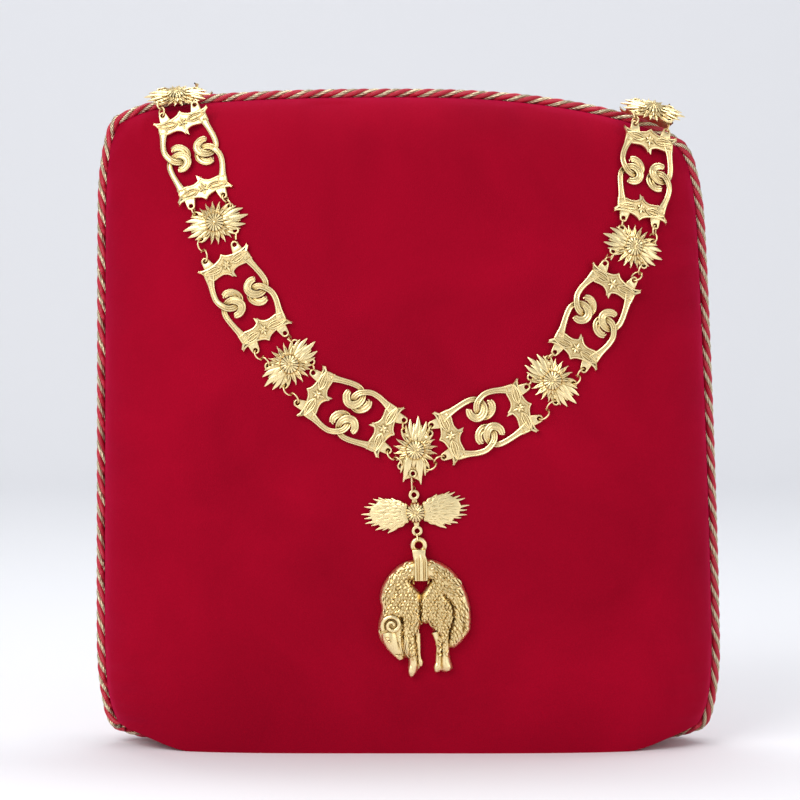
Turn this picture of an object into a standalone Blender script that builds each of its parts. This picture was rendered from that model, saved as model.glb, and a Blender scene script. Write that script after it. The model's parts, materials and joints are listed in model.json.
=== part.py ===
"""An order collar laid over the upright velvet cushion that holds it.

Metres, +Z up. The origin is the middle of the cushion's flat base, and the front faces -Y.
A flat link is drawn in its own frame: u across the chain, v along it, w out of the cushion.
"""

import math

import bmesh
import bpy
from mathutils import Matrix, Vector
from mathutils.bvhtree import BVHTree

MM = 0.001
CLEARANCE = 0.3 * MM

# Cushion
CUSHION_HALF_WIDTH = 155.0 * MM
CUSHION_HEIGHT = 329.0 * MM
CUSHION_HALF_DEPTH = 44.0 * MM
BASE_HALF_DEPTH = 33.0 * MM
CORNER_ROUND = 6.5 * MM
CORNER_SHARPNESS = 12
SIDE_FULLNESS = 4.0
TOP_FULLNESS = 3.0
FOOT_ROUND = 0.08
LEFT_SHOULDER_DROP = 7.0 * MM
RIGHT_SHOULDER_DROP = 20.0 * MM
LEFT_TAPER = 0.015
RIGHT_TAPER = 0.075
CUSHION_COLUMNS = 16
CUSHION_ROWS = 10
FOOT_FLAT = 0.50

# Piping
PIPING_RADIUS = 2.5 * MM
TUCK_COLUMNS = 4
PIPING_TUCK = math.cos(math.pi * TUCK_COLUMNS / CUSHION_COLUMNS)

# Jump rings
WIRE_RADIUS = 0.40 * MM
RING_WIDTH = 4.2 * MM
RING_LEAN = math.radians(24)
RING_ARC_STEPS = 4
RING_SIDES = 2 * (RING_ARC_STEPS + 1)
# The widest a ring may be, as a share of the way between its two holes
RING_ROUNDEST = 0.92
WIRE_SIDES = 5

# The pierced plate of every link, and the lugs on it that the rings pass through
PLATE_THICKNESS = 1.2 * MM
HOLE_RADIUS = 1.4 * MM
LUG_RADIUS = 2.1 * MM
HOLE_SIDES = 6

# Steel link
STEEL_HALF_WIDTH = 14.2 * MM
STEEL_HALF_LENGTH = 23.2 * MM
STEEL_LUG_ACROSS = 8.5 * MM
STEEL_LUG_ALONG = 25.4 * MM
ARM_WIDTH = 2.9 * MM
ARM_THICKNESS = 1.7 * MM
ARM_LOW = 0.1 * MM
ARM_HIGH = 0.7 * MM
RELIEF = 0.5 * MM

# Flint link
FLINT_HALF_SPAN = 16.8 * MM
RAY_REACH = 11.0 * MM
RAY_VALLEY = 7.6 * MM
RAYS = 5
PLAIN_RAYS = 4
RAY_ARC = math.radians(74)
DOME_RADIUS = 4.9 * MM
DOME_HEIGHT = 2.0 * MM
DAISY_RADIUS = 3.8 * MM
DAISY_HEIGHT = 1.6 * MM
DOME_SIDES = 10
FLINT_LUG_ACROSS = 8.8 * MM
FLINT_LUG_ALONG = 6.2 * MM

# Pendant
BAR_HALF_SPAN = 27.0 * MM
BAR_THICKNESS = 2.0 * MM
BAR_BOSS_RADIUS = 4.5 * MM
BAR_BOSS_HEIGHT = 1.6 * MM
BAR_TOP_EYE = 8.8 * MM
BAR_LOW_EYE = -9.3 * MM
EYE_RADIUS = 2.7 * MM
FLEECE_WIDTH = 46.5 * MM
FLEECE_HEIGHT = 66.0 * MM
FLEECE_THICKNESS = 3.0 * MM
FLEECE_EYE_RADIUS = 4.2 * MM
FLEECE_HOLE_RADIUS = 1.9 * MM
FLEECE_EYE_THICKNESS = 1.6 * MM
HORN_RADIUS = 3.4 * MM
HORN_WIRE = 1.1 * MM
PENDANT_RING_WIDTH = 4.6 * MM
PENDANT_RING_LEAN = math.radians(8)
# The hole for the pendant in the lowest flint's lower wing
PENDANT_HOLE = 11.9 * MM

# How far a link's back stays above the cushion's solid, which leaves room for the rings and the pile
LINK_LIFT = 1.9 * MM
PENDANT_LIFT = 1.9 * MM

# Each link's centre, the direction of the chain through it, seen from the front, and how far its upper
# end tips out. The collar hangs from the cushion's top, so the heights count down from there.
# Columns: name, kind, x, drop, heading in degrees from +X, tip in degrees.
CHAIN_ROUTE = (
    ("3L", "steel", -107.9 * MM, 28.8 * MM, 108.4, 7.0),
    ("2L", "flint", -96.2 * MM, 62.1 * MM, 103.0, 2.0),
    ("2L", "steel", -81.4 * MM, 98.9 * MM, 119.9, 0.0),
    ("1L", "flint", -59.2 * MM, 131.8 * MM, 131.0, 0.0),
    ("1L", "steel", -29.0 * MM, 155.5 * MM, 152.4, 0.0),
    ("0", "flint", 3.1 * MM, 174.5 * MM, 174.3, 0.0),
    ("1R", "steel", 37.9 * MM, 160.6 * MM, 21.9, 0.0),
    ("1R", "flint", 71.0 * MM, 140.0 * MM, 46.0, 0.0),
    ("2R", "steel", 92.1 * MM, 108.3 * MM, 60.5, 2.0),
    ("2R", "flint", 111.3 * MM, 74.0 * MM, 69.0, 2.0),
    ("3R", "steel", 118.3 * MM, 38.2 * MM, 83.4, 6.0),
)
# The two flints on the top edge. Columns: name, x, tilt of the wings in degrees, how far the flint sits
# forward of the seam, and the tip in degrees of the steel behind it.
TOP_FLINTS = (
    ("3L", -117.0 * MM, 2.4, 6.5 * MM, 1.0),
    ("3R", 123.0 * MM, -12.5, 4.5 * MM, 10.0),
)
TOP_FLINT_LEAN = math.radians(30)
TOP_FLINT_LIFT = 2.9 * MM
# The hidden stretch repeats the front's route higher up
BACK_RISE = 11.0 * MM

# x, drop and heading of the pendant's two pieces, the bar by its middle and the fleece by its eye
BAR_PLACE = (3.2 * MM, 205.7 * MM, 95.0)
FLEECE_PLACE = (7.5 * MM, 222.0 * MM, 91.0)

# A steel's upper plate, as shares of its half width and half length, apart from its two lugs
PLATE_TIP = ((-1.00, 1.00), (-0.76, 0.975))
PLATE_CUSP = (0.03, 1.06)
PLATE_INNER_EDGE = ((0.86, 0.70), (0.34, 0.63), (0.00, 0.52), (-0.34, 0.63), (-0.88, 0.68))
KNOT_OUTLINE = (
    (-0.62, 0.82),
    (-0.16, 0.84),
    (0.00, 0.95),
    (0.16, 0.84),
    (0.62, 0.82),
    (0.16, 0.76),
    (0.00, 0.65),
    (-0.16, 0.76),
)
# The centre lines of a steel's left arms, in the same shares, from the plate to the hook's end
UPPER_ARM = (
    (-0.84, 0.74),
    (-0.92, 0.36),
    (-0.83, 0.13),
    (-0.55, 0.01),
    (-0.24, -0.06),
    (-0.24, -0.21),
    (-0.55, -0.26),
)
LOWER_ARM = (
    (-0.74, -0.72),
    (-0.88, -0.25),
    (-0.80, -0.05),
    (-0.55, 0.06),
    (-0.26, 0.11),
    (-0.27, 0.25),
    (-0.58, 0.29),
)
# The plain steel's right side and half its window, in the same shares
PLAIN_SIDE = ((0.90, 0.62), (0.99, 0.30), (0.92, 0.00), (0.99, -0.30), (0.90, -0.62))
PLAIN_WINDOW = (
    (-0.76, 0.05),
    (-0.78, 0.32),
    (-0.66, 0.62),
    (-0.34, 0.63),
    (0.00, 0.52),
    (0.34, 0.63),
    (0.66, 0.62),
    (0.78, 0.32),
)
# A wing's flame tips and valleys, as shares of the flint's half span, from its upper root to its lower
WING_OUTLINE = (
    (0.36, 0.28),
    (0.62, 0.20),
    (0.90, 0.21),
    (0.82, 0.10),
    (1.00, 0.02),
    (0.83, -0.07),
    (0.88, -0.22),
    (0.62, -0.20),
    (0.36, -0.28),
)
# The right flame bundle of the flint bar, as shares of its half span
BUNDLE_OUTLINE = (
    (0.14, 0.14),
    (0.34, 0.29),
    (0.52, 0.38),
    (0.58, 0.30),
    (0.76, 0.36),
    (0.80, 0.24),
    (0.95, 0.20),
    (0.90, 0.10),
    (1.00, 0.02),
    (0.88, -0.06),
    (0.93, -0.18),
    (0.72, -0.20),
    (0.68, -0.32),
    (0.50, -0.28),
    (0.40, -0.36),
    (0.28, -0.26),
    (0.14, -0.14),
)
# The fleece's outline, as shares of its width and height, from its eye's centre
FLEECE_OUTLINE = (
    (-0.06, -0.05),
    (-0.06, -0.10),
    (-0.20, -0.145),
    (-0.33, -0.23),
    (-0.41, -0.33),
    (-0.43, -0.48),
    (-0.455, -0.60),
    (-0.44, -0.72),
    (-0.34, -0.83),
    (-0.23, -0.875),
    (-0.17, -0.84),
    (-0.13, -0.86),
    (-0.135, -0.96),
    (-0.10, -1.00),
    (-0.045, -0.97),
    (0.00, -0.90),
    (-0.01, -0.72),
    (0.01, -0.62),
    (0.08, -0.60),
    (0.14, -0.66),
    (0.17, -0.76),
    (0.15, -0.955),
    (0.22, -0.965),
    (0.33, -0.93),
    (0.31, -0.80),
    (0.37, -0.775),
    (0.49, -0.68),
    (0.54, -0.55),
    (0.53, -0.44),
    (0.48, -0.33),
    (0.37, -0.22),
    (0.25, -0.14),
    (0.08, -0.10),
    (0.06, -0.05),
)
FLEECE_GAP = ((-0.09, -0.272), (0.025, -0.38), (0.12, -0.272))
STRAP_OUTLINE = ((-0.035, -0.09), (-0.035, -0.26), (0.075, -0.26), (0.075, -0.09))
TAIL_OUTLINE = (
    (0.36, -0.45),
    (0.45, -0.44),
    (0.47, -0.58),
    (0.40, -0.70),
    (0.33, -0.73),
    (0.37, -0.60),
)
HEAD_OUTLINE = (
    (-0.38, -0.56),
    (-0.24, -0.52),
    (-0.16, -0.62),
    (-0.17, -0.76),
    (-0.24, -0.84),
    (-0.33, -0.79),
    (-0.40, -0.70),
)
HORN_PLACE = (-0.27, -0.64)
FLEECE_MIDDLE = (0.045 * FLEECE_WIDTH, -0.50 * FLEECE_HEIGHT)


def clear_scene():
    for old in list(bpy.data.objects):
        bpy.data.objects.remove(old)


def new_collection(name, hidden=False):
    collection = bpy.data.collections.new(name)
    collection.hide_render = hidden
    bpy.context.scene.collection.children.link(collection)
    return collection


def finish(name, colour, roughness, metallic):
    material = bpy.data.materials.new(name)
    material.use_nodes = True
    shader = material.node_tree.nodes["Principled BSDF"]
    shader.inputs["Base Color"].default_value = (*colour, 1)
    shader.inputs["Roughness"].default_value = roughness
    shader.inputs["Metallic"].default_value = metallic
    return material


def new_object(name, mesh, collection, material, frame=None):
    piece = bpy.data.objects.new(name, mesh)
    collection.objects.link(piece)
    if not mesh.materials:
        mesh.materials.append(material)
    if frame is not None:
        piece.matrix_world = frame
    return piece


def evaluated_mesh(source):
    """The object's mesh as its modifiers leave it, with the caps of a curve welded."""
    bpy.context.view_layer.update()
    graph = bpy.context.evaluated_depsgraph_get()
    mesh = bpy.data.meshes.new_from_object(source.evaluated_get(graph))
    form = bmesh.new()
    form.from_mesh(mesh)
    bmesh.ops.remove_doubles(form, verts=form.verts, dist=0.001 * MM)
    form.to_mesh(mesh)
    form.free()
    return mesh


def scaled(shares, width, height):
    return [Vector((u * width, v * height)) for u, v in shares]


def circle(centre, radius, sides=HOLE_SIDES):
    turns = [2 * math.pi * (k + 0.5) / sides for k in range(sides)]
    return [Vector(centre) + radius * Vector((math.cos(a), math.sin(a))) for a in turns]


def band(points, width):
    """The outline of a strip of one width along a centre line."""
    left, right = [], []
    for k, point in enumerate(points):
        ahead = points[min(k + 1, len(points) - 1)] - points[max(k - 1, 0)]
        side = Vector((-ahead.y, ahead.x)).normalized() * width / 2
        left.append(point + side)
        right.append(point - side)
    return left + right[::-1]


def slab(outlines, low, thickness):
    """A flat piece from closed outlines, the inner ones being holes, as a mesh in the link's frame."""
    curve = bpy.data.curves.new("outline", "CURVE")
    curve.dimensions = "2D"
    curve.fill_mode = "BOTH"
    curve.extrude = thickness / 2
    for outline in outlines:
        spline = curve.splines.new("POLY")
        spline.points.add(len(outline) - 1)
        for point, place in zip(spline.points, outline):
            point.co = (place[0], place[1], 0, 1)
        spline.use_cyclic_u = True
    drawn = bpy.data.objects.new("outline", curve)
    bpy.context.scene.collection.objects.link(drawn)
    mesh = evaluated_mesh(drawn)
    bpy.data.objects.remove(drawn)
    mesh.transform(Matrix.Translation((0, 0, low + thickness / 2)))
    return mesh


def dome(radius, top_radius, low, height, centre=(0, 0)):
    """A low round boss as a cut cone."""
    form = bmesh.new()
    place = Matrix.Translation((*centre, low + height / 2))
    bmesh.ops.create_cone(
        form,
        cap_ends=True,
        segments=DOME_SIDES,
        radius1=radius,
        radius2=top_radius,
        depth=height,
        matrix=place,
    )
    mesh = bpy.data.meshes.new("dome")
    form.to_mesh(mesh)
    form.free()
    return mesh


def union(meshes):
    """One closed body from meshes that overlap."""
    base = new_object("base", meshes[0], HELPERS, GILT)
    others = [new_object("other", mesh, HELPERS, GILT) for mesh in meshes[1:]]
    for other in others:
        boolean = base.modifiers.new("union", "BOOLEAN")
        boolean.operation = "UNION"
        boolean.solver = "EXACT"
        boolean.object = other
    mesh = evaluated_mesh(base)
    for helper in [base, *others]:
        bpy.data.objects.remove(helper)
    return mesh


def turned(mesh):
    """A copy turned half round the link's own axis."""
    copy = mesh.copy()
    copy.transform(Matrix.Rotation(math.pi, 4, "Z"))
    return copy


def lug_rim(across, along, direction, clockwise=True):
    """The outer rim of a lug that points in a direction, given in degrees."""
    turns = [math.radians(direction + turn) for turn in (84, 28, -28, -84)]
    rim = [Vector((across + LUG_RADIUS * math.cos(a), along + LUG_RADIUS * math.sin(a))) for a in turns]
    return rim if clockwise else rim[::-1]


def lug_hole(across, along):
    return circle((across, along), HOLE_RADIUS)


def steel_end():
    """A steel's outer edge with its two lugs, drawn clockwise from the left tip to the right one."""
    tip = scaled(PLATE_TIP, STEEL_HALF_WIDTH, STEEL_HALF_LENGTH)
    cusp = scaled([PLATE_CUSP], STEEL_HALF_WIDTH, STEEL_HALF_LENGTH)
    left = lug_rim(-STEEL_LUG_ACROSS, STEEL_LUG_ALONG, 90)
    right = lug_rim(STEEL_LUG_ACROSS, STEEL_LUG_ALONG, 90)
    mirrored = [Vector((-point.x, point.y)) for point in tip[::-1]]
    return tip + left + cusp + right + mirrored


def steel_holes(ends=(1,)):
    return [lug_hole(i * STEEL_LUG_ACROSS, j * STEEL_LUG_ALONG) for i in (-1, 1) for j in ends]


def steel_plate():
    inner = scaled(PLATE_INNER_EDGE, STEEL_HALF_WIDTH, STEEL_HALF_LENGTH)
    return slab([steel_end() + inner, *steel_holes()], 0, PLATE_THICKNESS)


def plain_steel_mesh():
    """The steel of the hidden stretch: one pierced plate with the same lugs and outline."""
    half = steel_end() + scaled(PLAIN_SIDE, STEEL_HALF_WIDTH, STEEL_HALF_LENGTH)
    window = scaled(PLAIN_WINDOW, STEEL_HALF_WIDTH, STEEL_HALF_LENGTH)
    outline = half + [-point for point in half]
    opening = window + [-point for point in window]
    return slab([outline, opening, *steel_holes((-1, 1))], 0, PLATE_THICKNESS)


def steel_mesh():
    knot = scaled(KNOT_OUTLINE, STEEL_HALF_WIDTH, STEEL_HALF_LENGTH)
    upper = band(scaled(UPPER_ARM, STEEL_HALF_WIDTH, STEEL_HALF_LENGTH), ARM_WIDTH)
    lower = band(scaled(LOWER_ARM, STEEL_HALF_WIDTH, STEEL_HALF_LENGTH), ARM_WIDTH)
    half = [
        steel_plate(),
        slab([knot], PLATE_THICKNESS - RELIEF, 2 * RELIEF),
        slab([upper], ARM_HIGH, ARM_THICKNESS),
        slab([lower], ARM_LOW, ARM_THICKNESS),
    ]
    return union(half + [turned(mesh) for mesh in half])


def flint_outline(rays):
    """The sunburst, its two flame wings and four lugs in one line, drawn anticlockwise."""
    wing = scaled(WING_OUTLINE, FLINT_HALF_SPAN, FLINT_HALF_SPAN)
    burst = []
    start = (math.pi - RAY_ARC) / 2
    for k in range(2 * rays - 1):
        a = start + RAY_ARC * k / (2 * rays - 2)
        radius = RAY_REACH if k % 2 == 0 else RAY_VALLEY
        burst.append(Vector((math.cos(a), math.sin(a))) * radius)
    slant = math.degrees(math.atan2(FLINT_LUG_ALONG, FLINT_LUG_ACROSS))
    right = lug_rim(FLINT_LUG_ACROSS, FLINT_LUG_ALONG, slant, clockwise=False)
    left = lug_rim(-FLINT_LUG_ACROSS, FLINT_LUG_ALONG, 180 - slant, clockwise=False)
    half = wing[::-1] + right + burst + left
    return half + [-point for point in half]


def flint_mesh(holes=(), rays=RAYS, daisy=True):
    sides = [(i * FLINT_LUG_ACROSS, j * FLINT_LUG_ALONG) for i in (-1, 1) for j in (-1, 1)]
    lug_holes = [lug_hole(*side) for side in sides]
    pieces = [
        slab([flint_outline(rays), *lug_holes, *holes], 0, PLATE_THICKNESS),
        dome(DOME_RADIUS, DAISY_RADIUS, PLATE_THICKNESS - RELIEF, DOME_HEIGHT + RELIEF),
    ]
    if daisy:
        level = PLATE_THICKNESS + DOME_HEIGHT - RELIEF
        pieces.append(dome(DAISY_RADIUS * 0.9, DAISY_RADIUS * 0.3, level, DAISY_HEIGHT + RELIEF))
    return union(pieces)


def bar_mesh():
    bundle = scaled(BUNDLE_OUTLINE, BAR_HALF_SPAN, BAR_HALF_SPAN)
    outline = bundle + [-point for point in bundle]
    pieces = [
        slab([outline], 0, BAR_THICKNESS),
        dome(BAR_BOSS_RADIUS, BAR_BOSS_RADIUS * 0.8, BAR_THICKNESS - RELIEF, BAR_BOSS_HEIGHT + RELIEF),
    ]
    for along in (BAR_TOP_EYE, BAR_LOW_EYE):
        pieces.append(eyelet(along, 0, EYE_RADIUS, HOLE_RADIUS, RELIEF / 2, BAR_THICKNESS - RELIEF))
    return union(pieces)


def eyelet(along, root, radius, hole_radius, low, thickness):
    """A flat eye with a round hole, on a neck down the pendant's middle line."""
    back = math.copysign(1, along - root)
    turns = [math.radians(30 * k) for k in range(7)]
    rim = [Vector((radius * math.cos(a), along + back * radius * math.sin(a))) for a in turns]
    neck = [Vector((-radius * 0.6, along - back * radius * 0.8)), Vector((-radius * 0.6, root))]
    neck += [Vector((radius * 0.6, root)), Vector((radius * 0.6, along - back * radius * 0.8))]
    return slab([rim + neck, circle((0, along), hole_radius)], low, thickness)


def horn_mesh(centre, level):
    """The ram's curled horn, a ring of tapered wire laid on the head."""
    bpy.ops.mesh.primitive_torus_add(
        major_segments=RING_SIDES, minor_segments=WIRE_SIDES, major_radius=HORN_RADIUS, minor_radius=HORN_WIRE
    )
    made = bpy.context.object
    mesh = made.data.copy()
    bpy.data.objects.remove(made)
    mesh.transform(Matrix.Translation((*centre, level)))
    return mesh


def fleece_mesh():
    """The hanging ram, drawn from its eye's centre and then moved to the middle of its outline."""
    def drawn(shares):
        return scaled(shares, FLEECE_WIDTH, FLEECE_HEIGHT)

    face = FLEECE_THICKNESS
    neck = FLEECE_HEIGHT * 0.12
    pieces = [
        slab([drawn(FLEECE_OUTLINE), drawn(FLEECE_GAP)], 0, face),
        slab([drawn(HEAD_OUTLINE)], face - RELIEF, 2.4 * RELIEF),
        slab([drawn(TAIL_OUTLINE)], face - RELIEF, 2 * RELIEF),
        slab([drawn(STRAP_OUTLINE)], face - RELIEF, 2.6 * RELIEF),
        horn_mesh(drawn([HORN_PLACE])[0], face + 0.6 * RELIEF),
        eyelet(0, -neck, FLEECE_EYE_RADIUS, FLEECE_HOLE_RADIUS, RELIEF / 2, FLEECE_EYE_THICKNESS),
    ]
    mesh = union(pieces)
    mesh.transform(Matrix.Translation((-FLEECE_MIDDLE[0], -FLEECE_MIDDLE[1], 0)))
    return mesh


def in_plane(direction, normal):
    return (direction - direction.dot(normal) * normal).normalized()


def ring_mesh(start, end, start_out, end_out, width, lean):
    """A jump ring of round wire, a long oval that passes square through the plates at both its holes."""
    chord = end - start
    line = chord.normalized()
    out = in_plane(start_out + end_out, line)
    through = line.cross(out * math.cos(lean) + line.cross(out) * math.sin(lean))
    half_width = min(width, RING_ROUNDEST * chord.length) / 2
    first = start + in_plane(in_plane(chord, start_out), through) * half_width
    last = end - in_plane(in_plane(chord, end_out), through) * half_width
    ahead = (last - first).normalized()
    form = bmesh.new()
    loops = []
    for centre, facing in ((last, ahead), (first, -ahead)):
        for step in range(RING_ARC_STEPS + 1):
            bend = math.pi * (step / RING_ARC_STEPS - 0.5)
            outwards = facing * math.cos(bend) + through.cross(facing) * math.sin(bend)
            loop = []
            for k in range(WIRE_SIDES):
                turn = 2 * math.pi * k / WIRE_SIDES
                wire = outwards * math.cos(turn) + through * math.sin(turn)
                loop.append(form.verts.new(centre + outwards * half_width + wire * WIRE_RADIUS))
            loops.append(loop)
    for k, loop in enumerate(loops):
        beyond = loops[(k + 1) % len(loops)]
        for i in range(WIRE_SIDES):
            j = (i + 1) % WIRE_SIDES
            form.faces.new((loop[i], beyond[i], beyond[j], loop[j]))
    bmesh.ops.recalc_face_normals(form, faces=form.faces)
    mesh = bpy.data.meshes.new("ring")
    form.to_mesh(mesh)
    form.free()
    return mesh


def seam_side(rise, left):
    """The seam's x on one side at a share of the height, before the corner is rounded."""
    if left:
        return -CUSHION_HALF_WIDTH * (1 - LEFT_TAPER * rise)
    return CUSHION_HALF_WIDTH * (1 - RIGHT_TAPER * rise**1.4)


def seam_top(share):
    """The seam's height along the top, from -1 at the left to 1 at the right."""
    drop = LEFT_SHOULDER_DROP if share < 0 else RIGHT_SHOULDER_DROP
    return CUSHION_HEIGHT - drop * abs(share) ** 2.4


def corner(share):
    return CORNER_ROUND * abs(share) ** CORNER_SHARPNESS


def foot_lift(share):
    """The seam leaves the floor near the corners, where the piping turns in under it."""
    ease = min(max((abs(share) - FOOT_FLAT) / (PIPING_TUCK - FOOT_FLAT), 0), 1)
    return 2 * (PIPING_RADIUS + CLEARANCE) * ease * ease * (3 - 2 * ease)


def seam_point(across, rise):
    """A point of the cushion's middle plane: across runs -1 to 1, rise 0 to 1."""
    up = 2 * rise - 1
    left = seam_side(rise, True) + corner(up)
    right = seam_side(rise, False) - corner(up)
    x = left + (right - left) * (across + 1) / 2
    low = foot_lift(across) + corner(across)
    high = seam_top(across) - corner(across)
    return Vector((x, 0, low + (high - low) * rise))


def cushion_depth(across, rise):
    """Half the cushion's thickness there."""
    side = math.sqrt(max(1 - abs(across) ** SIDE_FULLNESS, 0))
    up = max(2 * rise - 1, 0)
    top = math.sqrt(max(1 - up**TOP_FULLNESS, 0))
    low = min(rise / (2 * FOOT_ROUND), 1)
    foot = BASE_HALF_DEPTH + (CUSHION_HALF_DEPTH - BASE_HALF_DEPTH) * math.sin(low * math.pi / 2)
    return side * top * foot


def cushion_mesh():
    """The front half is a grid laid on the cushion's form, with its lowest row on the middle of the base."""
    form = bmesh.new()
    bmesh.ops.create_grid(form, x_segments=CUSHION_COLUMNS, y_segments=CUSHION_ROWS + 1, size=1)
    for vert in form.verts:
        row = round((vert.co.y + 1) / 2 * (CUSHION_ROWS + 1))
        column = (vert.co.x + 1) / 2 * CUSHION_COLUMNS
        across = column_share(column)
        rise = row_share(max(row - 1, 0))
        place = seam_point(across, rise)
        place.y = -cushion_depth(across, rise) if row > 0 else 0
        vert.co = place
    bmesh.ops.remove_doubles(form, verts=form.verts, dist=0.01 * MM)
    bmesh.ops.recalc_face_normals(form, faces=form.faces)
    mesh = bpy.data.meshes.new("cushion")
    form.to_mesh(mesh)
    form.free()
    return mesh


def build_cushion():
    cushion = new_object("cushion", cushion_mesh(), COLLAR, VELVET)
    mirror = cushion.modifiers.new("back half", "MIRROR")
    mirror.use_axis = (False, True, False)
    mirror.merge_threshold = 0.01 * MM
    mesh = evaluated_mesh(cushion)
    cushion.modifiers.clear()
    cushion.data = mesh
    form = bmesh.new()
    form.from_mesh(mesh)
    bmesh.ops.recalc_face_normals(form, faces=form.faces)
    form.to_mesh(mesh)
    form.free()
    return cushion


def column_share(column):
    """The cushion's columns and rows lie closer together towards the seam."""
    return -math.cos(math.pi * column / CUSHION_COLUMNS)


def row_share(row):
    return (1 - math.cos(math.pi * row / CUSHION_ROWS)) / 2


def seam_route():
    """The cushion's own seam points, from the left tuck under the foot over the top to the right tuck."""
    rim = [seam_point(column_share(k), 0) for k in range(TUCK_COLUMNS, 0, -1)]
    rim += [seam_point(-1, row_share(k)) for k in range(CUSHION_ROWS)]
    rim += [seam_point(column_share(k), 1) for k in range(CUSHION_COLUMNS)]
    rim += [seam_point(1, row_share(k)) for k in range(CUSHION_ROWS, 0, -1)]
    rim += [seam_point(column_share(CUSHION_COLUMNS - k), 0) for k in range(TUCK_COLUMNS + 1)]
    return rim


def piping_route():
    """The cord's centre line, its own radius and a clearance outside the seam."""
    rim = seam_route()
    route = []
    for k, point in enumerate(rim):
        before = (point - rim[k - 1]).normalized() if k else None
        after = (rim[k + 1] - point).normalized() if k < len(rim) - 1 else before
        before = before or after
        ahead = (before + after).normalized()
        outward = Vector((-ahead.z, 0, ahead.x))
        route.append(point + outward * (PIPING_RADIUS + CLEARANCE) / max(ahead.dot(after), 0.5))
    return route


def build_piping():
    curve = bpy.data.curves.new("piping", "CURVE")
    curve.dimensions = "3D"
    curve.bevel_depth = PIPING_RADIUS
    curve.bevel_resolution = 1
    curve.use_fill_caps = True
    route = piping_route()
    spline = curve.splines.new("POLY")
    spline.points.add(len(route) - 1)
    for point, place in zip(spline.points, route):
        point.co = (*place, 1)
    curve.materials.append(CORD)
    piping = bpy.data.objects.new("piping", curve)
    COLLAR.objects.link(piping)
    return piping


def resting_frame(surface, x, z, heading, tip, half_across, half_along, lift):
    """The frame of a flat link laid on the cushion's front, lifted so that it cuts nowhere."""
    a = math.radians(heading)
    along = Vector((math.cos(a), 0, math.sin(a)))
    across = Vector((-along.z, 0, along.x))
    samples = []
    for i in (-1, -0.5, 0, 0.5, 1):
        for j in (-1, -0.5, 0, 0.5, 1):
            spot = Vector((x, 0, z)) + across * half_across * i + along * half_along * j
            hit = surface.ray_cast(Vector((spot.x, -1, spot.z)), Vector((0, 1, 0)))[0]
            if hit is not None:
                samples.append((i, j, hit))
    run_along = mean_place(samples, 1, 1) - mean_place(samples, 1, -1)
    run_across = mean_place(samples, 0, 1) - mean_place(samples, 0, -1)
    w = run_across.cross(run_along)
    w = (w if w.y < 0 else -w).normalized()
    v = (along - Vector((0, along.dot(w) / w.y, 0))).normalized()
    u = v.cross(w)
    tipping = Matrix.Rotation(math.radians(tip), 3, u)
    v, w = tipping @ v, tipping @ w
    centre = mean_place(samples, None, None)
    rise = max((hit - centre).dot(w) for _, _, hit in samples)
    centre += w * (rise + lift)
    shift = (x - centre.x) * Vector((1, 0, 0)) + (z - centre.z) * Vector((0, 0, 1))
    centre += shift - w * shift.dot(w)
    return frame_of(u, v, w, centre)


def mean_place(samples, column, sign):
    chosen = [s[2] for s in samples if column is None or s[column] * sign > 0]
    return sum(chosen, Vector()) / len(chosen)


def frame_of(u, v, w, centre):
    frame = Matrix((u, v, w)).transposed().to_4x4()
    frame.translation = centre
    return frame


def to_back(frame):
    """The same place on the cushion's back, the link's face turned outwards there."""
    flip = Matrix.Scale(-1, 4, (0, 1, 0))
    v = (flip @ frame.col[1].to_3d()).normalized()
    w = (flip @ frame.col[2].to_3d()).normalized()
    return frame_of(v.cross(w), v, w, flip @ frame.translation)


def top_frame(x, tilt, forward):
    """A flint on the cushion's top edge, leaning a little forwards over the piping."""
    a = math.radians(tilt)
    u = Vector((math.cos(a), 0, math.sin(a)))
    up = Vector((-math.sin(a), 0, math.cos(a)))
    w = up * math.cos(TOP_FLINT_LEAN) - Vector((0, math.sin(TOP_FLINT_LEAN), 0))
    v = w.cross(u)
    share = x / CUSHION_HALF_WIDTH
    piping = 2 * PIPING_RADIUS + CLEARANCE
    centre = Vector((x, 0, seam_top(share) - corner(share) + piping)) + w * TOP_FLINT_LIFT - v * forward
    return frame_of(u, v, w, centre)


def lugs_towards(kind, frame, other):
    """The two holes at the end of a link that points to another link."""
    end = math.copysign(1, (other.translation - frame.translation).dot(frame.col[1].to_3d()))
    across, along = LUG_OFFSETS[kind]
    return [frame @ Vector((i * across, end * along, PLATE_THICKNESS / 2)) for i in (-1, 1)]


def facing_pairs(steel, flint):
    """The two pairs of holes that face each other, the shorter way first, as it is inside the curve."""
    ends = lugs_towards("steel", steel, flint)
    near = lugs_towards("flint", flint, steel)
    straight = (ends[0] - near[0]).length + (ends[1] - near[1]).length
    crossed = (ends[0] - near[1]).length + (ends[1] - near[0]).length
    if crossed < straight:
        near.reverse()
    pairs = sorted(zip(ends, near), key=lambda pair: (pair[0] - pair[1]).length)
    return pairs


def ring_lean(flint):
    """Rings lie over a little on the cushion, and stand up at the two flints on the top edge."""
    return 0 if flint in tops.values() else RING_LEAN


def rings_of(steel, flint, lean):
    """The inner ring and the outer one that join a steel to a flint."""
    outs = steel.col[2].to_3d(), flint.col[2].to_3d()
    return [ring_mesh(start, end, *outs, RING_WIDTH, lean) for start, end in facing_pairs(steel, flint)]


def held_rings(steel, flint, lean):
    """Plain rings that bite into the far rims of a steel's own lugs and run free in the flint's holes."""
    outs = steel.col[2].to_3d(), flint.col[2].to_3d()
    rings = []
    for start, end in facing_pairs(steel, flint):
        bite = in_plane(end - start, outs[0]) * (HOLE_RADIUS - WIRE_RADIUS * 0.6)
        ring = ring_mesh(start - bite, end, *outs, RING_WIDTH, lean)
        ring.transform(steel.inverted())
        rings.append(ring)
    return rings


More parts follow.
